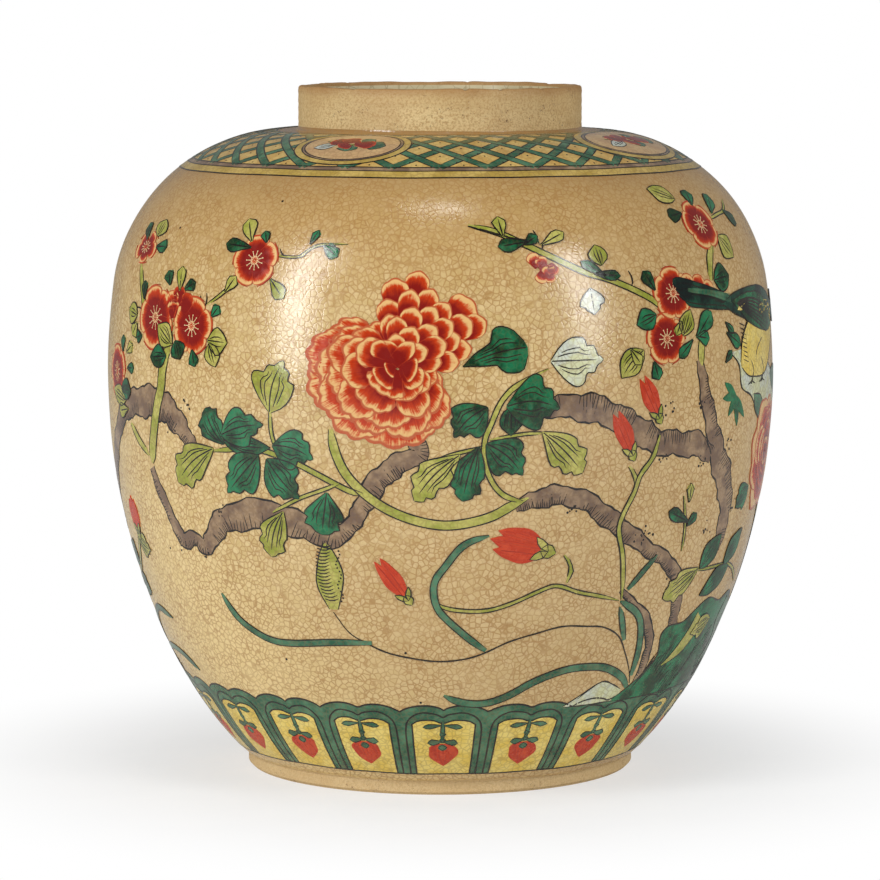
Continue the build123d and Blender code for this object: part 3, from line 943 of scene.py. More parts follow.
def twig_leaves(p):
    """Small leaves along the twigs: base, tip and width."""
    green = [
        ((-34.6, 188.6), (-40.4, 189.6), 4.6), ((-31.6, 190.4), (-32.6, 194.6), 3.4),
        ((-23, 190.4), (-21.8, 195.4), 2.6), ((-20.4, 190.2), (-17.6, 186.4), 4.4),
        ((15.4, 191.6), (10.0, 190.0), 4.6), ((14.6, 190.6), (17.2, 193.6), 4.0),
        ((28.8, 179.6), (24.4, 184.6), 3.4), ((26.6, 180.4), (31.6, 179.4), 3.4),
        ((38.4, 174.2), (36.4, 180.6), 4.6), ((38.2, 166.6), (34.0, 163.6), 7.4),
        ((37.2, 151.6), (38.2, 145.8), 4.6), ((47.4, 158.4), (51.8, 166.0), 6.4),
        ((47.4, 158.6), (50.8, 157.4), 5.0), ((46.4, 157.6), (42.8, 152.2), 4.0),
        ((53.8, 176), (59, 177), 9.4), ((51.0, 199.6), (46.9, 198.6), 5.2),
        ((55.8, 202), (57.2, 208.4), 5.6), ((61.6, 198.6), (65, 205.6), 5.6),
        ((67.4, 199), (71, 193.6), 5.4), ((-52.4, 174.6), (-53.6, 179.2), 5.0),
        ((-48.2, 173.6), (-45.6, 176.2), 4.2), ((-41.0, 165.6), (-39.4, 169.2), 4.2),
        ((-49.6, 157), (-48.2, 151), 7.6), ((-52.0, 151.6), (-57.0, 150.6), 7.6),
        ((-45.2, 154.6), (-44.4, 149.2), 4.6), ((-60.4, 157), (-62.4, 156.2), 4.4),
        ((-60.6, 169), (-61.0, 175), 4.0), ((-65.4, 188.6), (-67.8, 194.4), 4.2),
        ((-60.4, 186.6), (-56.6, 187), 4.6), ((-69, 138.4), (-64.4, 138.2), 7.4),
        ((-68.6, 150.6), (-68.8, 156), 4.0), ((-66, 145.6), (-63.2, 146), 3.6),
        ((47.6, 98), (42.2, 102.4), 4.4), ((47.4, 96.6), (49.6, 100.6), 3.6),
        ((54.0, 80.6), (59.4, 91.6), 8.6), ((63.4, 80), (69.4, 91.4), 8.6),
        ((66.2, 79), (56.6, 70.4), 8.6), ((56.2, 158.6), (60.8, 154), 4.6),
        ((56, 162), (58.6, 158), 2.8), ((55.4, 149), (57.6, 152.6), 3.0),
    ]
    for base, tip, width in green:
        p.leaf(base, tip, width, "green", "drop" if width < 6.5 else "ovate", 6,
               veins=1 if width > 6.5 else 0)
    lime = [
        ((-34.8, 190.6), (-37.2, 198.6), 5.6), ((-29.4, 178.6), (-26.6, 172.6), 5.0),
        ((-49.4, 173), (-49.8, 181), 4.6), ((-41.6, 158), (-37.2, 157.6), 8.6),
        ((-41.2, 157), (-39.6, 149.6), 6.6), ((-62.8, 163.4), (-66.6, 164.6), 7.4),
        ((-62.6, 161), (-64.2, 156.6), 5.6), ((-61.6, 190), (-61.2, 196.4), 8.6),
        ((-66.6, 150.6), (-64.0, 153.6), 4.2), ((-67, 134.6), (-74, 137.4), 7.0),
        ((-66, 132), (-70.6, 130.6), 5.0), ((11, 193.6), (10.4, 200.6), 4.4),
        ((17.6, 190.4), (22.2, 194.6), 4.0), ((28.2, 183), (27.6, 190), 7.0),
        ((59.4, 190.4), (62.6, 182.4), 9.6), ((51.6, 205), (45.4, 210), 8.0),
        ((47.0, 104.6), (47.0, 111.0), 3.4), ((43.8, 164), (42.4, 159.4), 3.6),
        ((32.6, 156), (34.6, 151), 4.0), ((-38.4, 173.6), (-36.4, 179.0), 4.4),
    ]
    for base, tip, width in lime:
        p.leaf(base, tip, width, "lime", "ovate" if width > 6 else "drop", 6,
               veins=1 if width > 6 else 0)


def blossoms(p):
    """Prunus blossoms, whole ones and half-hidden ones, and the buds."""
    p.blossom((-33.2, 184.4), 8.6, 95)
    p.blossom((-45.6, 162.2), 9.4, 80)
    p.blossom((-56.0, 163.6), 10.6, 110)
    p.blossom((-64.6, 186), 8.4, 60, face=(1.0, 0.66))
    p.blossom((-71.6, 143.6), 9.0, 100)
    p.blossom((40.2, 158.6), 8.4, 92)
    p.blossom((42.4, 173), 8.6, 20)
    p.blossom((55.2, 195), 8.8, 100)
    for rim, base, width in (((-51.6, 173), (-51, 166), 7.4), ((-49.6, 174.6), (-49.4, 168), 6.4),
                             ((-46.6, 172.4), (-48, 166), 6.4), ((-51, 170), (-50.6, 164), 6.4),
                             ((46.6, 179), (45.6, 171), 6.4), ((49.6, 178.4), (48.4, 171), 6.4),
                             ((52.4, 176), (50.6, 170), 6.0), ((53.4, 172.6), (51, 169), 4.6),
                             ((48.6, 175), (48, 170), 5.0)):
        p.petal(base, rim, width, "blossoms", p.lift(5) + 0.02, root=0.4, drop=0.36)
    for rim, base, width in (((15.4, 187.6), (16.6, 183), 4.4), ((17.0, 186.6), (17.6, 182), 4.2),
                             ((18.2, 183.6), (18.6, 179.6), 4.6), ((19.6, 180.4), (18.6, 184), 4.2),
                             ((16.6, 178), (17.4, 181.6), 4.0), ((18.6, 178), (18.4, 181), 3.6)):
        p.petal(base, rim, width, "blossoms", p.lift(5) + 0.02, root=0.5, drop=0.36)
    p.bud((-11.0, 90.4), (-6.0, 77.4), 5.2, lobes=2)
    p.bud((8.4, 97.0), (17.6, 92.6), 7.6, lobes=3)
    p.bud((34.6, 147.6), (38.0, 134.6), 5.4, lobes=2)
    p.bud((29.4, 137), (32.8, 123.4), 5.4, lobes=2)


def prunus_branches(p):
    """Old branches: places, widths, shaded side and a number that sets the gnarls."""
    for points, shade, seed in (
        ([(-85, 99, 7), (-80, 108, 7), (-76, 117, 7), (-71, 127, 7), (-66, 133, 8), (-60, 135.6, 10),
          (-54, 135.6, 10), (-50, 132, 9), (-47, 127, 6), (-44.6, 123, 3)], 1, 1),
        ([(-58, 114, 3), (-56, 106, 4.4), (-53.4, 97, 4.4), (-51.5, 91, 5.5), (-48, 92, 5),
          (-45, 90, 6), (-42, 96, 7), (-38, 101, 9), (-30, 103, 10), (-24, 100, 9), (-18, 97, 7),
          (-14.6, 102, 5), (-12.6, 108, 6), (-10, 116, 7), (-7, 121, 6.6), (-3.4, 125, 6),
          (-4.4, 131, 5)], 1, 2),
        ([(14.6, 137.4, 3), (20, 139, 7), (25, 138, 9), (30, 134.6, 8), (34, 130, 9), (38, 126, 8),
          (43, 124.6, 8), (48, 123.4, 8), (52, 119, 5)], -1, 3),
        ([(48, 151, 3), (48.8, 144, 4.6), (50, 136, 6), (52, 127, 7), (54, 119, 9), (56.6, 111, 10),
          (58.6, 103, 8), (59.2, 95, 7), (58.4, 86, 6)], -1, 4),
        ([(12.4, 107.4, 3), (16, 109.6, 6), (20, 110.6, 6.4), (25, 108, 6), (29.4, 102, 6.4),
          (34, 96, 6), (39, 90, 5), (44, 85, 5), (47.6, 78, 5), (49.6, 68, 5), (50.6, 60, 4)], 1, 5),
        ([(34, 77, 1.6), (38, 71, 3), (42, 65, 3.4), (44.6, 57, 3.4), (45.4, 49, 3.4), (44.8, 41, 2.6)],
         1, 6),
    ):
        p.branch(points, 1, shade, seed)
    for place in ((-45, 88), (-52, 88.6), (-40, 103), (22.4, 107), (36, 94), (40, 120), (40.6, 136),
                  (49, 135.4), (49.4, 118.4), (57, 121.4), (61.4, 101), (54, 95), (46, 80), (38, 97),
                  (-51, 129), (-47, 136), (-66, 136.4)):
        p.moss(place)
    p.leaf((-19.4, 72), (-19.6, 95.6), 9.0, "lime", "bud", 1, veins=-1, tone=0.4)
    for k in range(17):
        climb = 75.0 + 1.15 * k
        left = -19.6 - 2.3 * np.sin(np.pi * (climb - 70) / 30)
        p.stroke([(left, climb + 0.6), (left + 1.3, climb), (left + 2.6, climb + 0.9)], 0.42, 1,
                 ends=(1, 0.3))
        p.dab((-17.7 + 0.4 * np.sin(k), climb), 0.6, 1)


def round_bloom(p, heart, reach, layer=4, seed=0):
    """A peony seen full face: rings of notched petals about its heart, shrinking inward."""
    heart = np.array(heart, float)
    metric = scale_at(heart[1])
    for k, (share, count, width) in enumerate(((1.0, 9, 0.78), (0.8, 8, 0.7), (0.6, 7, 0.6),
                                               (0.42, 6, 0.46), (0.26, 5, 0.32))):
        for m in range(count):
            angle = 2 * np.pi * (m + 0.5 * (k % 2) + 0.13 * seed) / count
            way = np.array([np.cos(angle), np.sin(angle)]) / metric
            size = reach * share * (1 + 0.07 * np.sin(3 * angle + seed))
            p.petal(heart + 0.1 * size * way, heart + size * way, reach * width, "peony",
                    p.lift(layer) + 0.03 * k + 0.013 * (m % 2), 3, root=0.3, drop=0.45, cells=6)


def bird(p):
    """A bird on the right: fanned tail, streaked wing, yellow belly, legs, head and beak."""
    tail = [(42.6, 176.6), (43.2, 174.6), (43.8, 172.6), (45.2, 170.6)]
    for k, tip in enumerate(tail):
        p.leaf((60.0, 168.6 - 0.8 * k), tip, 4.2, "plumage", "fan", 7 + 0.15 * k, veins=-1, line=0.4,
               tone=0.9)
    p.leaf((60.8, 147.4), (80.0, 162.0), 22, "yellow", "round", 7, veins=-1, line=0.5)
    p.leaf((55.6, 168.0), (84.6, 163.0), 11.5, "plumage", "ovate", 8, -0.1, -1, 0.2)
    p.leaf((79.4, 158.4), (58.4, 168.6), 12.4, "green", "ovate", 8.6, 0.08, -1, 0.9)
    for k in range(7):
        rise = 1.5 * k - 4.4
        p.stroke([(60.2 + 0.2 * k, 168.0 + 0.1 * rise), (67, 165.0 + 0.75 * rise),
                  (74.6, 160.6 + rise)], 0.75, 8.7)
        p.stroke([(46, 173.6 + 0.12 * rise), (52, 172.0 + 0.18 * rise), (58.4, 169.4 + 0.3 * rise)],
                 0.36, 7.9, pot="teal")
    for k in range(16):
        spot = (70.6 + 0.62 * k, 164.6 - 0.1 * (k - 6) ** 2 * 0.3 + 1.6 * np.sin(2.3 * k))
        p.stroke([spot, (spot[0] + 0.5, spot[1] + 0.8), (spot[0] + 1.1, spot[1] + 0.1)], 0.3, 8.9,
                 pot="yellow")
    p.leaf((60.4, 165.4), (64.0, 167.4), 2.6, "yellow", "round", 8.9, veins=-1, line=0.35)
    for k in range(9):
        p.stroke([(61.0 + 0.1 * k, 161.0 - 1.5 * k), (62.0 + 0.1 * k, 160.4 - 1.5 * k),
                  (62.9 + 0.1 * k, 159.9 - 1.5 * k)], 0.36, 7.3)
    p.stroke([(67, 149), (68.6, 152.4), (71.4, 155)], 0.45, 7.1)
    for foot in (64.6, 70.0):
        p.stroke([(foot, 148.6), (foot + 1.4, 145), (foot + 0.6, 141.4)], 0.55, 7)
        for toe in (-1.8, -0.4, 1.4):
            p.stroke([(foot + 0.6, 141.8), (foot + 0.6 + toe / 2, 140.8),
                      (foot + 0.6 + toe, 140.6)], 0.42, 7)
    p.leaf((81.0, 161.0), (89.4, 165.6), 9.0, "plumage", "round", 9.2, veins=-1, line=0.45, tone=0.2)
    p.dab((86.6, 165.4), 2.0, 9.5, pot="cream")
    p.dab((86.6, 165.4), 1.0, 9.8)
    p.leaf((88.6, 164.4), (92.4, 162.0), 2.4, "aubergine", "bud", 9, veins=-1)


def rocks(p):
    """Low rocks growing off the band, one pale and one green, and a tuft of bamboo leaves."""
    for tip in ((55, 142.6), (54.4, 137.4), (56.4, 131.4), (59.6, 127.6), (62.2, 130)):
        p.leaf((58.6, 137.6), tip, 2.9, "green", "bud", 4, veins=-1, line=0, tone=0.5)
    p.facet([(27, 34.6), (31, 39), (35, 43), (38, 41.6), (41, 39)],
            [(27.4, 34.2), (31, 34.2), (35, 34.4), (38, 34.6), (41.4, 34.6)], "pale", 1, 4, tone=0.05)
    p.stroke([(30, 37), (32, 40), (33.6, 41.6)], 0.5, 1)
    p.facet([(39.4, 35.4), (43, 39.6), (46, 44), (48.8, 50), (47.8, 57.6), (49.4, 61), (54, 61.6),
             (58, 66), (62, 68.4), (68, 66), (74, 68), (80, 62), (86, 60), (92, 50), (96, 37)],
            level(34.4, 39.6, 43, 47, 51, 55, 59, 63, 67, 71, 75, 79, 84, 88, 92, 96),
            "green", 2, 8, tone=0.5)
    p.facet([(58.6, 64), (57, 57), (54, 50), (51.4, 46)], [(62, 60), (60.6, 54), (57, 48.6), (51.8, 45.6)],
            "lime", 2.6, 3)
    p.facet([(74, 66), (72, 58), (75, 50), (72, 42)], [(79, 61), (76, 56), (79, 49), (74, 41.6)],
            "teal", 2.6, 3, tone=0.0)
    for k in range(46):
        turn = 44.0 + 0.86 * k
        low = 38.0 + 6.0 * np.sin(0.31 * k) + 0.1 * k
        p.stroke([(turn, low), (turn + 1.4, low + 4.4), (turn + 3.0, low + 8.0 + 2.6 * np.sin(k))],
                 0.36, 2, ends=(0.6, 0.1))


def lappets(p):
    """Twenty lappets above the foot: yellow panels in scalloped green frames, each with a
    hanging fruit."""
    centres = np.concatenate([[-53, -35, -18, 0.6, 20, 38.4], np.linspace(57, 307, 14, endpoint=False)])
    bounds = (centres + np.roll(centres, -1)) / 2
    bounds[-1] = (centres[-1] + centres[0] + 360) / 2
    foot, top = 5.2, 33.8
    order = np.argsort((bounds + 180) % 360)
    edges = (bounds[order] + 180) % 360
    stops = np.concatenate([[edges[-1] - 360], edges, [edges[0] + 360]])
    part = np.interp(ALL_ROUND + 180, stops, np.arange(len(stops))) % 1.0
    crest = top + 2.3 * np.abs(np.sin(2 * np.pi * part)) ** 0.6 + 0.9 * np.sin(np.pi * part)
    p.ring("teal", foot, crest, p.lift(0.5), waver=0.0, tone=0.55)
    p.ring("black", crest - 0.3, crest + 0.35, p.lift(0.5) + LINE_RISE, waver=0.1)
    p.ring("black", 4.9, 5.5, p.lift(1.5) + LINE_RISE, waver=0.25)
    for k, centre in enumerate(centres):
        left = (bounds[k - 1] - (360 if k == 0 else 0) + 1.0) - centre
        right = bounds[k] - 1.0 - centre
        p.stroke([(centre + left, foot), (centre + left, 16), (centre + left + 0.1, 27),
                  (centre + left + 1.2, 31.4), (centre + 0.55 * left, top), (centre - 1.4, 33.2),
                  (centre, 32.0), (centre + 1.4, 33.2), (centre + 0.55 * right, top),
                  (centre + right - 1.2, 31.4), (centre + right - 0.1, 27), (centre + right, 16),
                  (centre + right, foot)], 0.55, 1, ends=(1, 1))
        u = np.linspace(-1, 1, 15)[:, None]
        v = np.linspace(0, 1, 13)[None, :]
        half = np.where(u < 0, -(left + 1.55), right - 1.55)
        head = 30.8 - 1.9 * u**6 - 1.5 * np.exp(-((u / 0.2) ** 2))
        spread = centre + u * half + 0 * v
        grid = np.stack([spread, 5.4 + (head - 5.4) * v], -1)
        p.enamel("yellow", grid, p.lift(1), 0.5)
        for side in (0, -1):
            p.stroke(grid[side], 0.5, 1.4, ends=(1, 1))
        p.stroke(grid[:, -1], 0.5, 1.4, ends=(1, 1))
        p.leaf((centre, 20.4), (centre + 0.2, 9.6), 9.4, "red_buds", "fruit", 2, veins=-1, line=0)
        p.strip([(centre, 30.2), (centre, 26), (centre, 21)], 1.3, "teal", 2, edge=0.34)
        for hand in (-1, 1):
            for near, reach, base, tip, width in ((0.3, 4.4, 28.6, 27.7, 2.1),
                                                  (0.2, 3.5, 21.4, 20.6, 2.7)):
                p.leaf((centre + near * hand, base), (centre + reach * hand, tip), width, "teal",
                       "drop", 2.4, veins=-1, line=0.36)
        for at, size in ((24.6, 2.1), (21.8, 2.2), (18.6, 2.8)):
            p.oval((centre, at), size / 2 / degree(at), size / 2, "teal", 2.8, 0.32)


def shoulder_band(p):
    """Round the shoulder: a yellow line, an aubergine line, and a green trellis over buff with
    four ovals holding a flowering spray."""
    yellow, purple, trellis, end = 217.2, 220.6, 222.6, 252.4
    p.ring("olive", yellow, purple, p.lift(1), tone=0.5)
    p.ring("aubergine", purple, trellis, p.lift(1), tone=0.6)
    p.ring("ochre", trellis, end, p.lift(0.6), tone=0.5)
    for climb, width in ((yellow, 0.5), (purple, 0.45), (trellis, 0.5), (end, 0.6)):
        p.ring("black", climb - width / 2, climb + width / 2, p.lift(1.6) + LINE_RISE, waver=0.15)
    straps, height = 34, 238.0
    pitch = 360 / straps
    for k in range(straps):
        for way, layer in ((1, 1.5), (-1, 2.2)):
            start = k * pitch
            points = [(start + way * pitch * (climb - trellis) / 11.0, climb)
                      for climb in (trellis, 230, 238, 246, 252.2)]
            p.strip(points, 2.6, "teal", layer, edge=0.38, ends=(1, 1), tone=0.9)
        for row in range(5):
            place = (start + pitch * (0.5 + 0.5 * (row % 2)), 225.4 + 5.5 * row)
            for dx, dy in ((0, 1.6), (0, -1.6), (1.5, 0), (-1.5, 0)):
                p.dab((place[0] + dx, place[1] + dy), 0.6, 1)
    for centre, wide in ((-24, 16.4), (64, 23.0), (156, 16.4), (244, 20.0)):
        middle = (centre, height)
        p.oval(middle, wide, 14.4, "olive", 3, 0.45)
        p.oval(middle, wide * 0.87, 12.2, "aubergine", 3.6, 0.4)
        p.oval(middle, wide * 0.82, 11.4, "ochre_pale", 4.2, 0.4)
        p.strip([(centre - 0.5 * wide, 240), (centre - 0.2 * wide, 238), (centre + 0.2 * wide, 237),
                 (centre + 0.5 * wide, 239)], 1.0, "lime", 5, edge=0.32)
        for dx, dy, size, pot in (
            (-0.34, 3.6, 5.0, "pale"), (0.28, 4.0, 6.0, "teal"), (0.5, -1.4, 7.0, "teal"),
            (0.0, -5.0, 7.0, "teal"), (-0.5, -3.4, 5.0, "pale"),
        ):
            p.leaf((centre + dx * wide * 0.5, height + dy * 0.3),
                   (centre + dx * wide * 1.2, height + dy * 1.2), size, pot, "ovate", 5.4, veins=1,
                   line=0.34)
        for dx, dy in ((-0.3, 1.4), (-0.1, 2.6), (0.1, 0.4), (-0.1, -1.6), (0.3, -0.4)):
            p.petal((centre + dx * wide * 0.4, height + dy * 0.3),
                    (centre + dx * wide * 1.4, height + dy * 2.2), 6.5, "peony",
                    p.lift(6) + 0.02 * dx, 3, root=0.5, drop=0.4, tone=0.1)


def right_side(p):
    """What only the front spray carries round to the right: the bird on its pale rock, and a
    full-face peony with its own stem and leaves."""
    p.facet([(57, 152), (60, 147.6), (61, 140), (65, 136.6), (68, 131)],
            [(66, 153), (72, 149), (78, 143), (83, 137), (86, 130)], "pale", 3, 8, tone=0.1)
    p.facet([(66, 137), (70, 136), (72, 131), (71, 128)],
            [(66.4, 136.6), (67, 132), (69, 129), (70.6, 127.6)], "teal", 3.4, 3)
    p.facet([(78, 143), (83, 144), (90, 139), (94, 130)],
            [(77, 142), (79, 138), (85, 133), (92, 126)], "teal", 3.4, 3, tone=0.1)
    p.strip([(84, 60), (85, 74), (82, 90), (78, 104)], 2.4, "lime", 3)
    p.strip([(83, 84), (90, 92), (95, 98)], 1.6, "lime", 3)
    p.strip([(84.6, 78), (91, 76), (97, 79)], 1.6, "lime", 3)
    for base, tip, width, pot, form in (
        ((87, 116), (97, 121), 15, "green", "lobed"), ((86, 108), (96, 108), 15, "green", "lobed"),
        ((95, 98), (104, 92), 13, "lime", "fringed"), ((92, 94), (99, 103), 11, "green", "lobed"),
        ((97, 79), (105, 84), 12, "green", "lobed"), ((95, 78), (103, 70), 12, "lime", "fringed"),
        ((68, 106), (63, 99), 10, "green", "lobed"), ((88, 126), (99, 131), 11, "pale", "lobed"),
    ):
        p.leaf(base, tip, width, pot, form, 3.6, 0.06)
    round_bloom(p, (77.0, 116.0), 20.0, 4, 1)
    p.strip([(96, 152), (102, 158), (107, 166), (110, 176)], 2.0, "lime", 2)
    p.blossom((103, 171), 8.0, 40)
    p.blossom((98, 158), 7.2, 10)
    for base, tip in (((107, 166), (112, 163)), ((104, 160), (109, 156)), ((110, 176), (114, 181)),
                      ((98, 152), (94, 147)), ((108, 172), (106, 179))):
        p.leaf(base, tip, 5.2, "green", "drop", 6, veins=0)
    bird(p)


def left_side(p):
    """What only the front spray carries round to the left: the old trunk that both sides
    branch from, its mound, grasses, and a low flowering spray."""
    p.branch([(-91, 34.6, 17), (-92, 48, 14), (-89, 62, 12), (-90.4, 78, 11), (-88, 92, 9),
              (-84, 104, 7.4)], 0.4, 1, 8)
    p.branch([(-89, 80, 7), (-94, 92, 7.4), (-97, 104, 7)], 0.2, -1, 9)
    p.facet([(-112, 34.6), (-106, 41), (-100, 46), (-95, 44), (-90, 48), (-85, 46), (-80, 41),
             (-75, 34.6)],
            level(34.2, -112, -106, -100, -95, -90, -85, -80, -75), "green", 2, 6, tone=0.5)
    for k in range(24):
        turn = -108.0 + 1.3 * k
        rise = 36.0 + 2.4 * np.sin(0.7 * k)
        p.stroke([(turn, rise), (turn + 0.9, rise + 2.6), (turn + 2.0, rise + 5.0)], 0.36, 2,
                 ends=(0.6, 0.1))
    for points in ([(-86, 46), (-80, 56), (-73, 62), (-65, 60)],
                   [(-95, 46), (-102, 58), (-110, 62), (-118, 58)],
                   [(-84, 44), (-76, 47), (-68, 46), (-62, 41)],
                   [(-98, 46), (-104, 52), (-112, 52)]):
        p.strip(points, 2.3, "teal", 4, edge=0.35, ends=(0.4, 0.1))
    p.strip([(-88, 66), (-80, 72), (-74, 80), (-70, 90)], 1.8, "lime", 3)
    p.strip([(-92, 66), (-100, 73), (-106, 82)], 1.8, "lime", 3)
    for base, tip, width, pot in (((-80, 72), (-74, 67), 9, "green"), ((-76, 77), (-82, 84), 9, "green"),
                                  ((-71, 87), (-65, 84), 8, "lime"), ((-99, 72), (-104, 67), 9, "lime"),
                                  ((-104, 79), (-98, 84), 9, "green"), ((-96, 69), (-97, 78), 7, "green")):
        p.leaf(base, tip, width, pot, "lobed", 4, 0.05)
    p.bud((-70.6, 102), (-70, 90), 6.0, lobes=3)
    p.bud((-109, 95), (-106, 83), 6.0, lobes=2)
    for place in ((-84, 90), (-95, 62), (-86, 56)):
        p.moss(place)


def spray(p, sides=False):
    """One side of the jar; the front one also carries what grows round both sides."""
    rocks(p)
    prunus_branches(p)
    stems(p)
    peony_leaves(p)
    twig_leaves(p)
    blossoms(p)
    tree_peony(p)
    if sides:
        right_side(p)
        left_side(p)
    # Stray iron specks.
    for place in ((-56.5, 87), (-31.5, 52), (-6.5, 57), (-4, 38), (-31.5, 206), (-55, 194)):
        p.dab(place, 0.8, 0)


# ---------------------------------------------------------------- the turned surfaces


def glaze_coat(material):
    """The glaze: the outline from a wavering lower edge to the collar, the cove against it, and
    back down half a millimetre inside."""
    rise = np.linspace(0.0, SEAT - COVE, 205)
    curl = np.linspace(0.15, np.pi / 2, 5)
    back = np.linspace(SEAT, 0.0, 36)
    around = np.linspace(0, 360, 320, endpoint=False)[:, None]
    waver = 0.5 + 0.45 * np.sin(np.radians(around) * 3 + 1) + 0.3 * np.sin(np.radians(around) * 8)
    low = np.exp(-rise / 3.0)[None, :]
    outer = skin(around, rise[None, :] + waver * low, -0.3 * np.exp(-rise / 0.8)[None, :])
    cove_r = COLLAR + COVE * (1 - np.sin(curl))
    cove_h = TOP + COVE * (1 - np.cos(curl)) + 0.1
    cove = round_axis(np.radians(around), cove_r, cove_h)
    inner = skin(around, back[None, :] + waver * np.exp(-back / 3.0)[None, :], -GLAZE)
    points = np.concatenate([outer, cove, inner], axis=1)
    piece = closed_rings("crackle_glaze_coat", points, material, "crackle_glaze")
    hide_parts("outer_glaze")


def worn_collar(material):
    """The collar: a ring whose outside carries level rings, a sine of the height. Its soft lip
    is worn down by sines round it and by bell-shaped chips, all fading out 3 mm below the rim."""
    low = TOP - 0.8
    inner = COLLAR - COLLAR_WALL
    lip = 0.9
    arc = np.linspace(0, np.pi / 2, 6)
    wall = np.linspace(low, RIM - lip, 14)
    outside = np.stack([np.full(14, COLLAR), wall], -1)
    over = np.stack([COLLAR - lip + lip * np.cos(arc), RIM - lip + lip * np.sin(arc)], -1)
    inside = np.stack([inner + lip - lip * np.sin(arc), RIM - lip + lip * np.cos(arc)], -1)
    down = np.stack([np.full(4, inner), np.linspace(RIM - 2.5, low, 4)], -1)
    radius, height = np.concatenate([outside, over[1:], inside, down]).T[:, None]
    random = np.random.default_rng(11)
    chips = [(random.uniform(0, 2 * np.pi), random.uniform(0.008, 0.03), random.uniform(0.3, 0.9))
             for _ in range(16)]

    around = np.linspace(0, 2 * np.pi, 360, endpoint=False)[:, None]
    high = np.clip((height - (RIM - 3.0)) / 3.0, 0, 1) ** 2
    wear = 0.1 * np.sin(5 * around + 1) + 0.08 * np.sin(11 * around) + 0.05 * np.sin(29 * around)
    for at, width, depth in chips:
        gap = np.angle(np.exp(1j * (around - at)))
        wear = wear - depth * np.exp(-((gap / width) ** 2))
    rings = 0.07 * np.sin(height * 2.1) + 0.05 * np.sin(2 * around) * (1 - high)
    out = np.where(radius > COLLAR - COLLAR_WALL / 2, rings, 0.0)
    points = round_axis(around, radius + out, height + high * (wear - 0.25))
    piece = closed_rings("worn_collar", points, material, "bare_collar")
    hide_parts("neck_collar")


glaze_coat(crackle_glaze())
worn_collar(clay_finish("bare_collar", (216, 192, 140), (176, 142, 90), (84, 52, 28),
                        lip=(150, 106, 56)))
bare = clay_finish("bare_clay", (210, 184, 136), (190, 160, 112), (120, 84, 50), bump=0.4)
inside = inner_glaze()
for finish, pieces in (
    (bare, ("lower_body", "upper_body", "seam_slip", "collar_slip")),
    (inside, ("inner_glaze", "base_glaze")),
):
    for node in pieces:
        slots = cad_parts[node].data.materials
        slots.clear()
        slots.append(finish)

# Washes of enamel: material, slot, colour where thin, colour where thick, and how far the
# crackle shows through.
WASHES = {
    "green": ("green_enamel", "green_enamel", (26, 116, 74), (0, 48, 20), 0.12),
    "teal": ("teal_enamel", "green_enamel", (78, 126, 94), (28, 84, 58), 0.3),
    "lime": ("lime_enamel", "lime_enamel", (182, 176, 92), (140, 146, 50), 0.4),
    # The pale wash is pale enamel, and on one leaf of each spray a painted highlight.
    "pale": ("pale_enamel_and_painted_highlight", "lime_enamel", (200, 202, 158), (196, 204, 196), 0.4),
    "yellow": ("yellow_enamel", "yellow_enamel", (230, 208, 118), (220, 190, 82), 0.4),
    "olive": ("olive_enamel", "yellow_enamel", (196, 168, 92), (172, 144, 64), 0.4),
    "ochre": ("ochre_enamel", "yellow_enamel", (206, 176, 104), (190, 152, 80), 0.3),
    "ochre_pale": ("buff_enamel", "yellow_enamel", (206, 172, 120), (188, 150, 104), 0.3),
    "aubergine": ("aubergine_enamel", "aubergine_enamel", (156, 130, 100), (108, 86, 70), 0.35),
    "plumage": ("plumage_enamel", "green_enamel", (20, 70, 50), (4, 22, 18), 0.0),
    "black": ("black_line", "black_line", (44, 34, 24), (12, 8, 6), 0.0),
    "cream": ("cream_enamel", "yellow_enamel", (232, 208, 160), (222, 192, 140), 0.1),
    "red_lines": ("iron_red_line", "iron_red_enamel", (190, 66, 26), (154, 34, 12), 0.0),
}
fired = {}
for pot, (name, slot, thin, thick, show) in WASHES.items():
    fired[pot] = (wash_finish(name, thin, thick, show), slot)
fired["peony"] = fired["blossoms"] = (petal_red(), "iron_red_enamel")
fired["red_buds"] = (brushed_red(), "iron_red_enamel")

front = Painting("front")
spray(front, sides=True)
back = Painting("back", turned=180.0, hand=-1, seed=9)
spray(back)
foot_band = Painting("foot_band", seed=5)
lappets(foot_band)
shoulder = Painting("shoulder", seed=6)
shoulder_band(shoulder)
for painting in (front, back, foot_band, shoulder):
    for pot in painting.pots:
        painting.fire(pot, *fired[pot])


# ---------------------------------------------------------------- the studio


def floor():
    """A wide pale disc whose far part shows plain white to the eye, so that it has no horizon."""
    material, n, shader, where = new_finish("pale_floor")
    spread = n.add("ShaderNodeVectorMath", {0: where}, operation="LENGTH").outputs["Value"]
    path = n.add("ShaderNodeLightPath")
    fade = n.ramp(spread, FADE_STARTS, FADE_ENDS, 0.55, 1.0)
    far = n.math("MULTIPLY", fade, path.outputs["Is Camera Ray"])
    grain = n.noise(where, 30.0)
    tint = n.mix(n.ramp(grain, 0.3, 0.7), (0.86, 0.86, 0.86, 1), (0.9, 0.9, 0.9, 1))
    set_shader(n, shader, tint, 0.7)
    white = n.add("ShaderNodeEmission", {"Color": (1, 1, 1, 1), "Strength": 1.0})
    both = n.add("ShaderNodeMixShader", {0: far, 1: shader.outputs[0], 2: white.outputs[0]})
    n.tree.links.new(both.outputs[0], n.tree.nodes["Material Output"].inputs["Surface"])
    bpy.ops.mesh.primitive_circle_add(vertices=96, radius=6.0, fill_type="NGON")
    disc = bpy.context.object
    disc.name = "studio_floor"
    disc.data.materials.append(material)


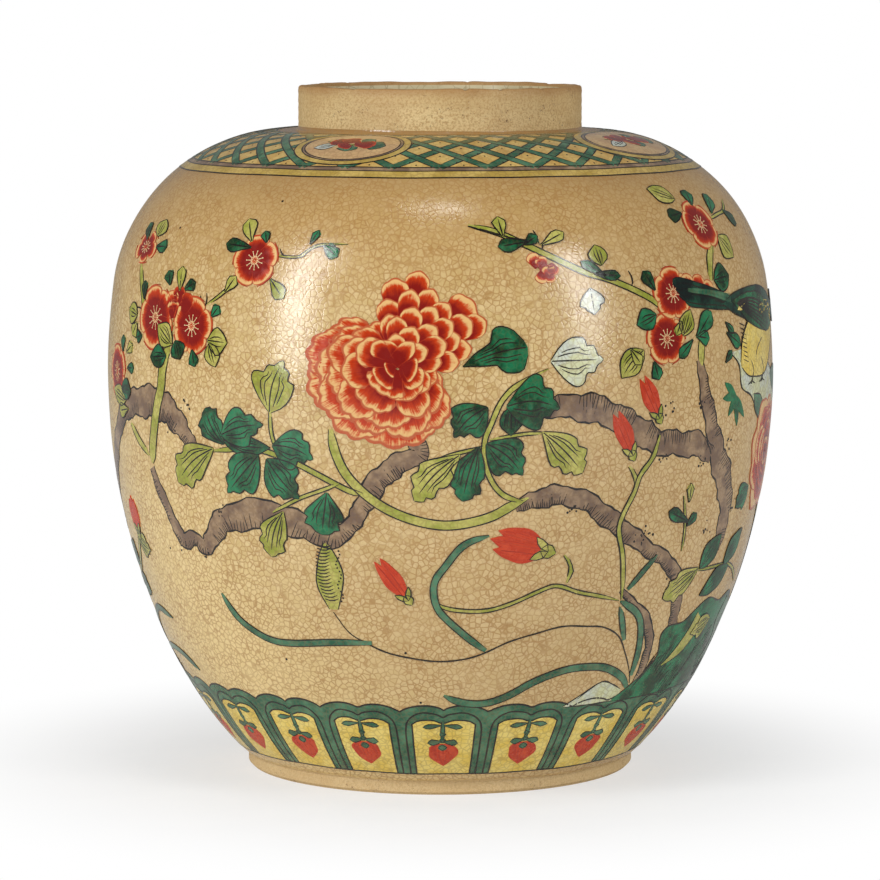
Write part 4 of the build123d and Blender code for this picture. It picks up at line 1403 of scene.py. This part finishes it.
def softbox(name, side, climb, distance, width, height, power):
    """A soft light at an angle round from the front and an angle up, aimed at the pot."""
    around, up = np.radians(side), np.radians(climb)
    way = Vector((np.sin(around) * np.cos(up), -np.cos(around) * np.cos(up), np.sin(up)))
    lamp = bpy.data.lights.new(name, "AREA")
    lamp.shape = "RECTANGLE"
    lamp.size, lamp.size_y = width, height
    lamp.energy = power
    box = bpy.data.objects.new(name, lamp)
    box.location = Vector((0, 0, MIDDLE)) + way * distance
    box.rotation_euler = way.to_track_quat("Z", "Y").to_euler()
    bpy.context.scene.collection.objects.link(box)


def studio():
    """White all round to the eye, a plainer white for the light itself."""
    world = bpy.data.worlds.new("white_room")
    bpy.context.scene.world = world
    world.use_nodes = True
    world.node_tree.nodes.clear()
    n = Nodes(world.node_tree)
    path = n.add("ShaderNodeLightPath")
    level = n.add("ShaderNodeMapRange", {0: path.outputs["Is Camera Ray"], 3: WORLD_LIGHT, 4: 1.0})
    back = n.add("ShaderNodeBackground", {"Color": (1, 1, 1, 1), "Strength": level.outputs[0]})
    n.add("ShaderNodeOutputWorld", {"Surface": back.outputs[0]})


# Metres and degrees: the light all round, the height that the lamps aim at, where the floor turns
# white, how high the windows stand, and the camera.
WORLD_LIGHT = 0.24
MIDDLE = 0.135
FADE_STARTS, FADE_ENDS = 0.07, 0.2
WINDOW_RISE = 22
LENS = 174.3
CAMERA_PLACE = (0.0, -1.4387, 0.2706)
CAMERA_DIPS = 6.38

floor()
studio()
softbox("left_window", -50, WINDOW_RISE, 1.5, 0.27, 1.15, 16)
softbox("right_window", 50, WINDOW_RISE, 1.5, 0.24, 1.0, 10.5)
softbox("roof_light", 0, 72, 1.4, 0.3, 0.16, 1.4)

camera = bpy.data.cameras.new("studio_camera")
camera.lens = LENS
camera.sensor_width = 36.0
eye = bpy.data.objects.new("studio_camera", camera)
eye.location = CAMERA_PLACE
eye.rotation_euler = (np.radians(90 - CAMERA_DIPS), 0.0, 0.0)
bpy.context.scene.collection.objects.link(eye)
bpy.context.scene.camera = eye
bpy.context.scene.view_settings.view_transform = "Standard"
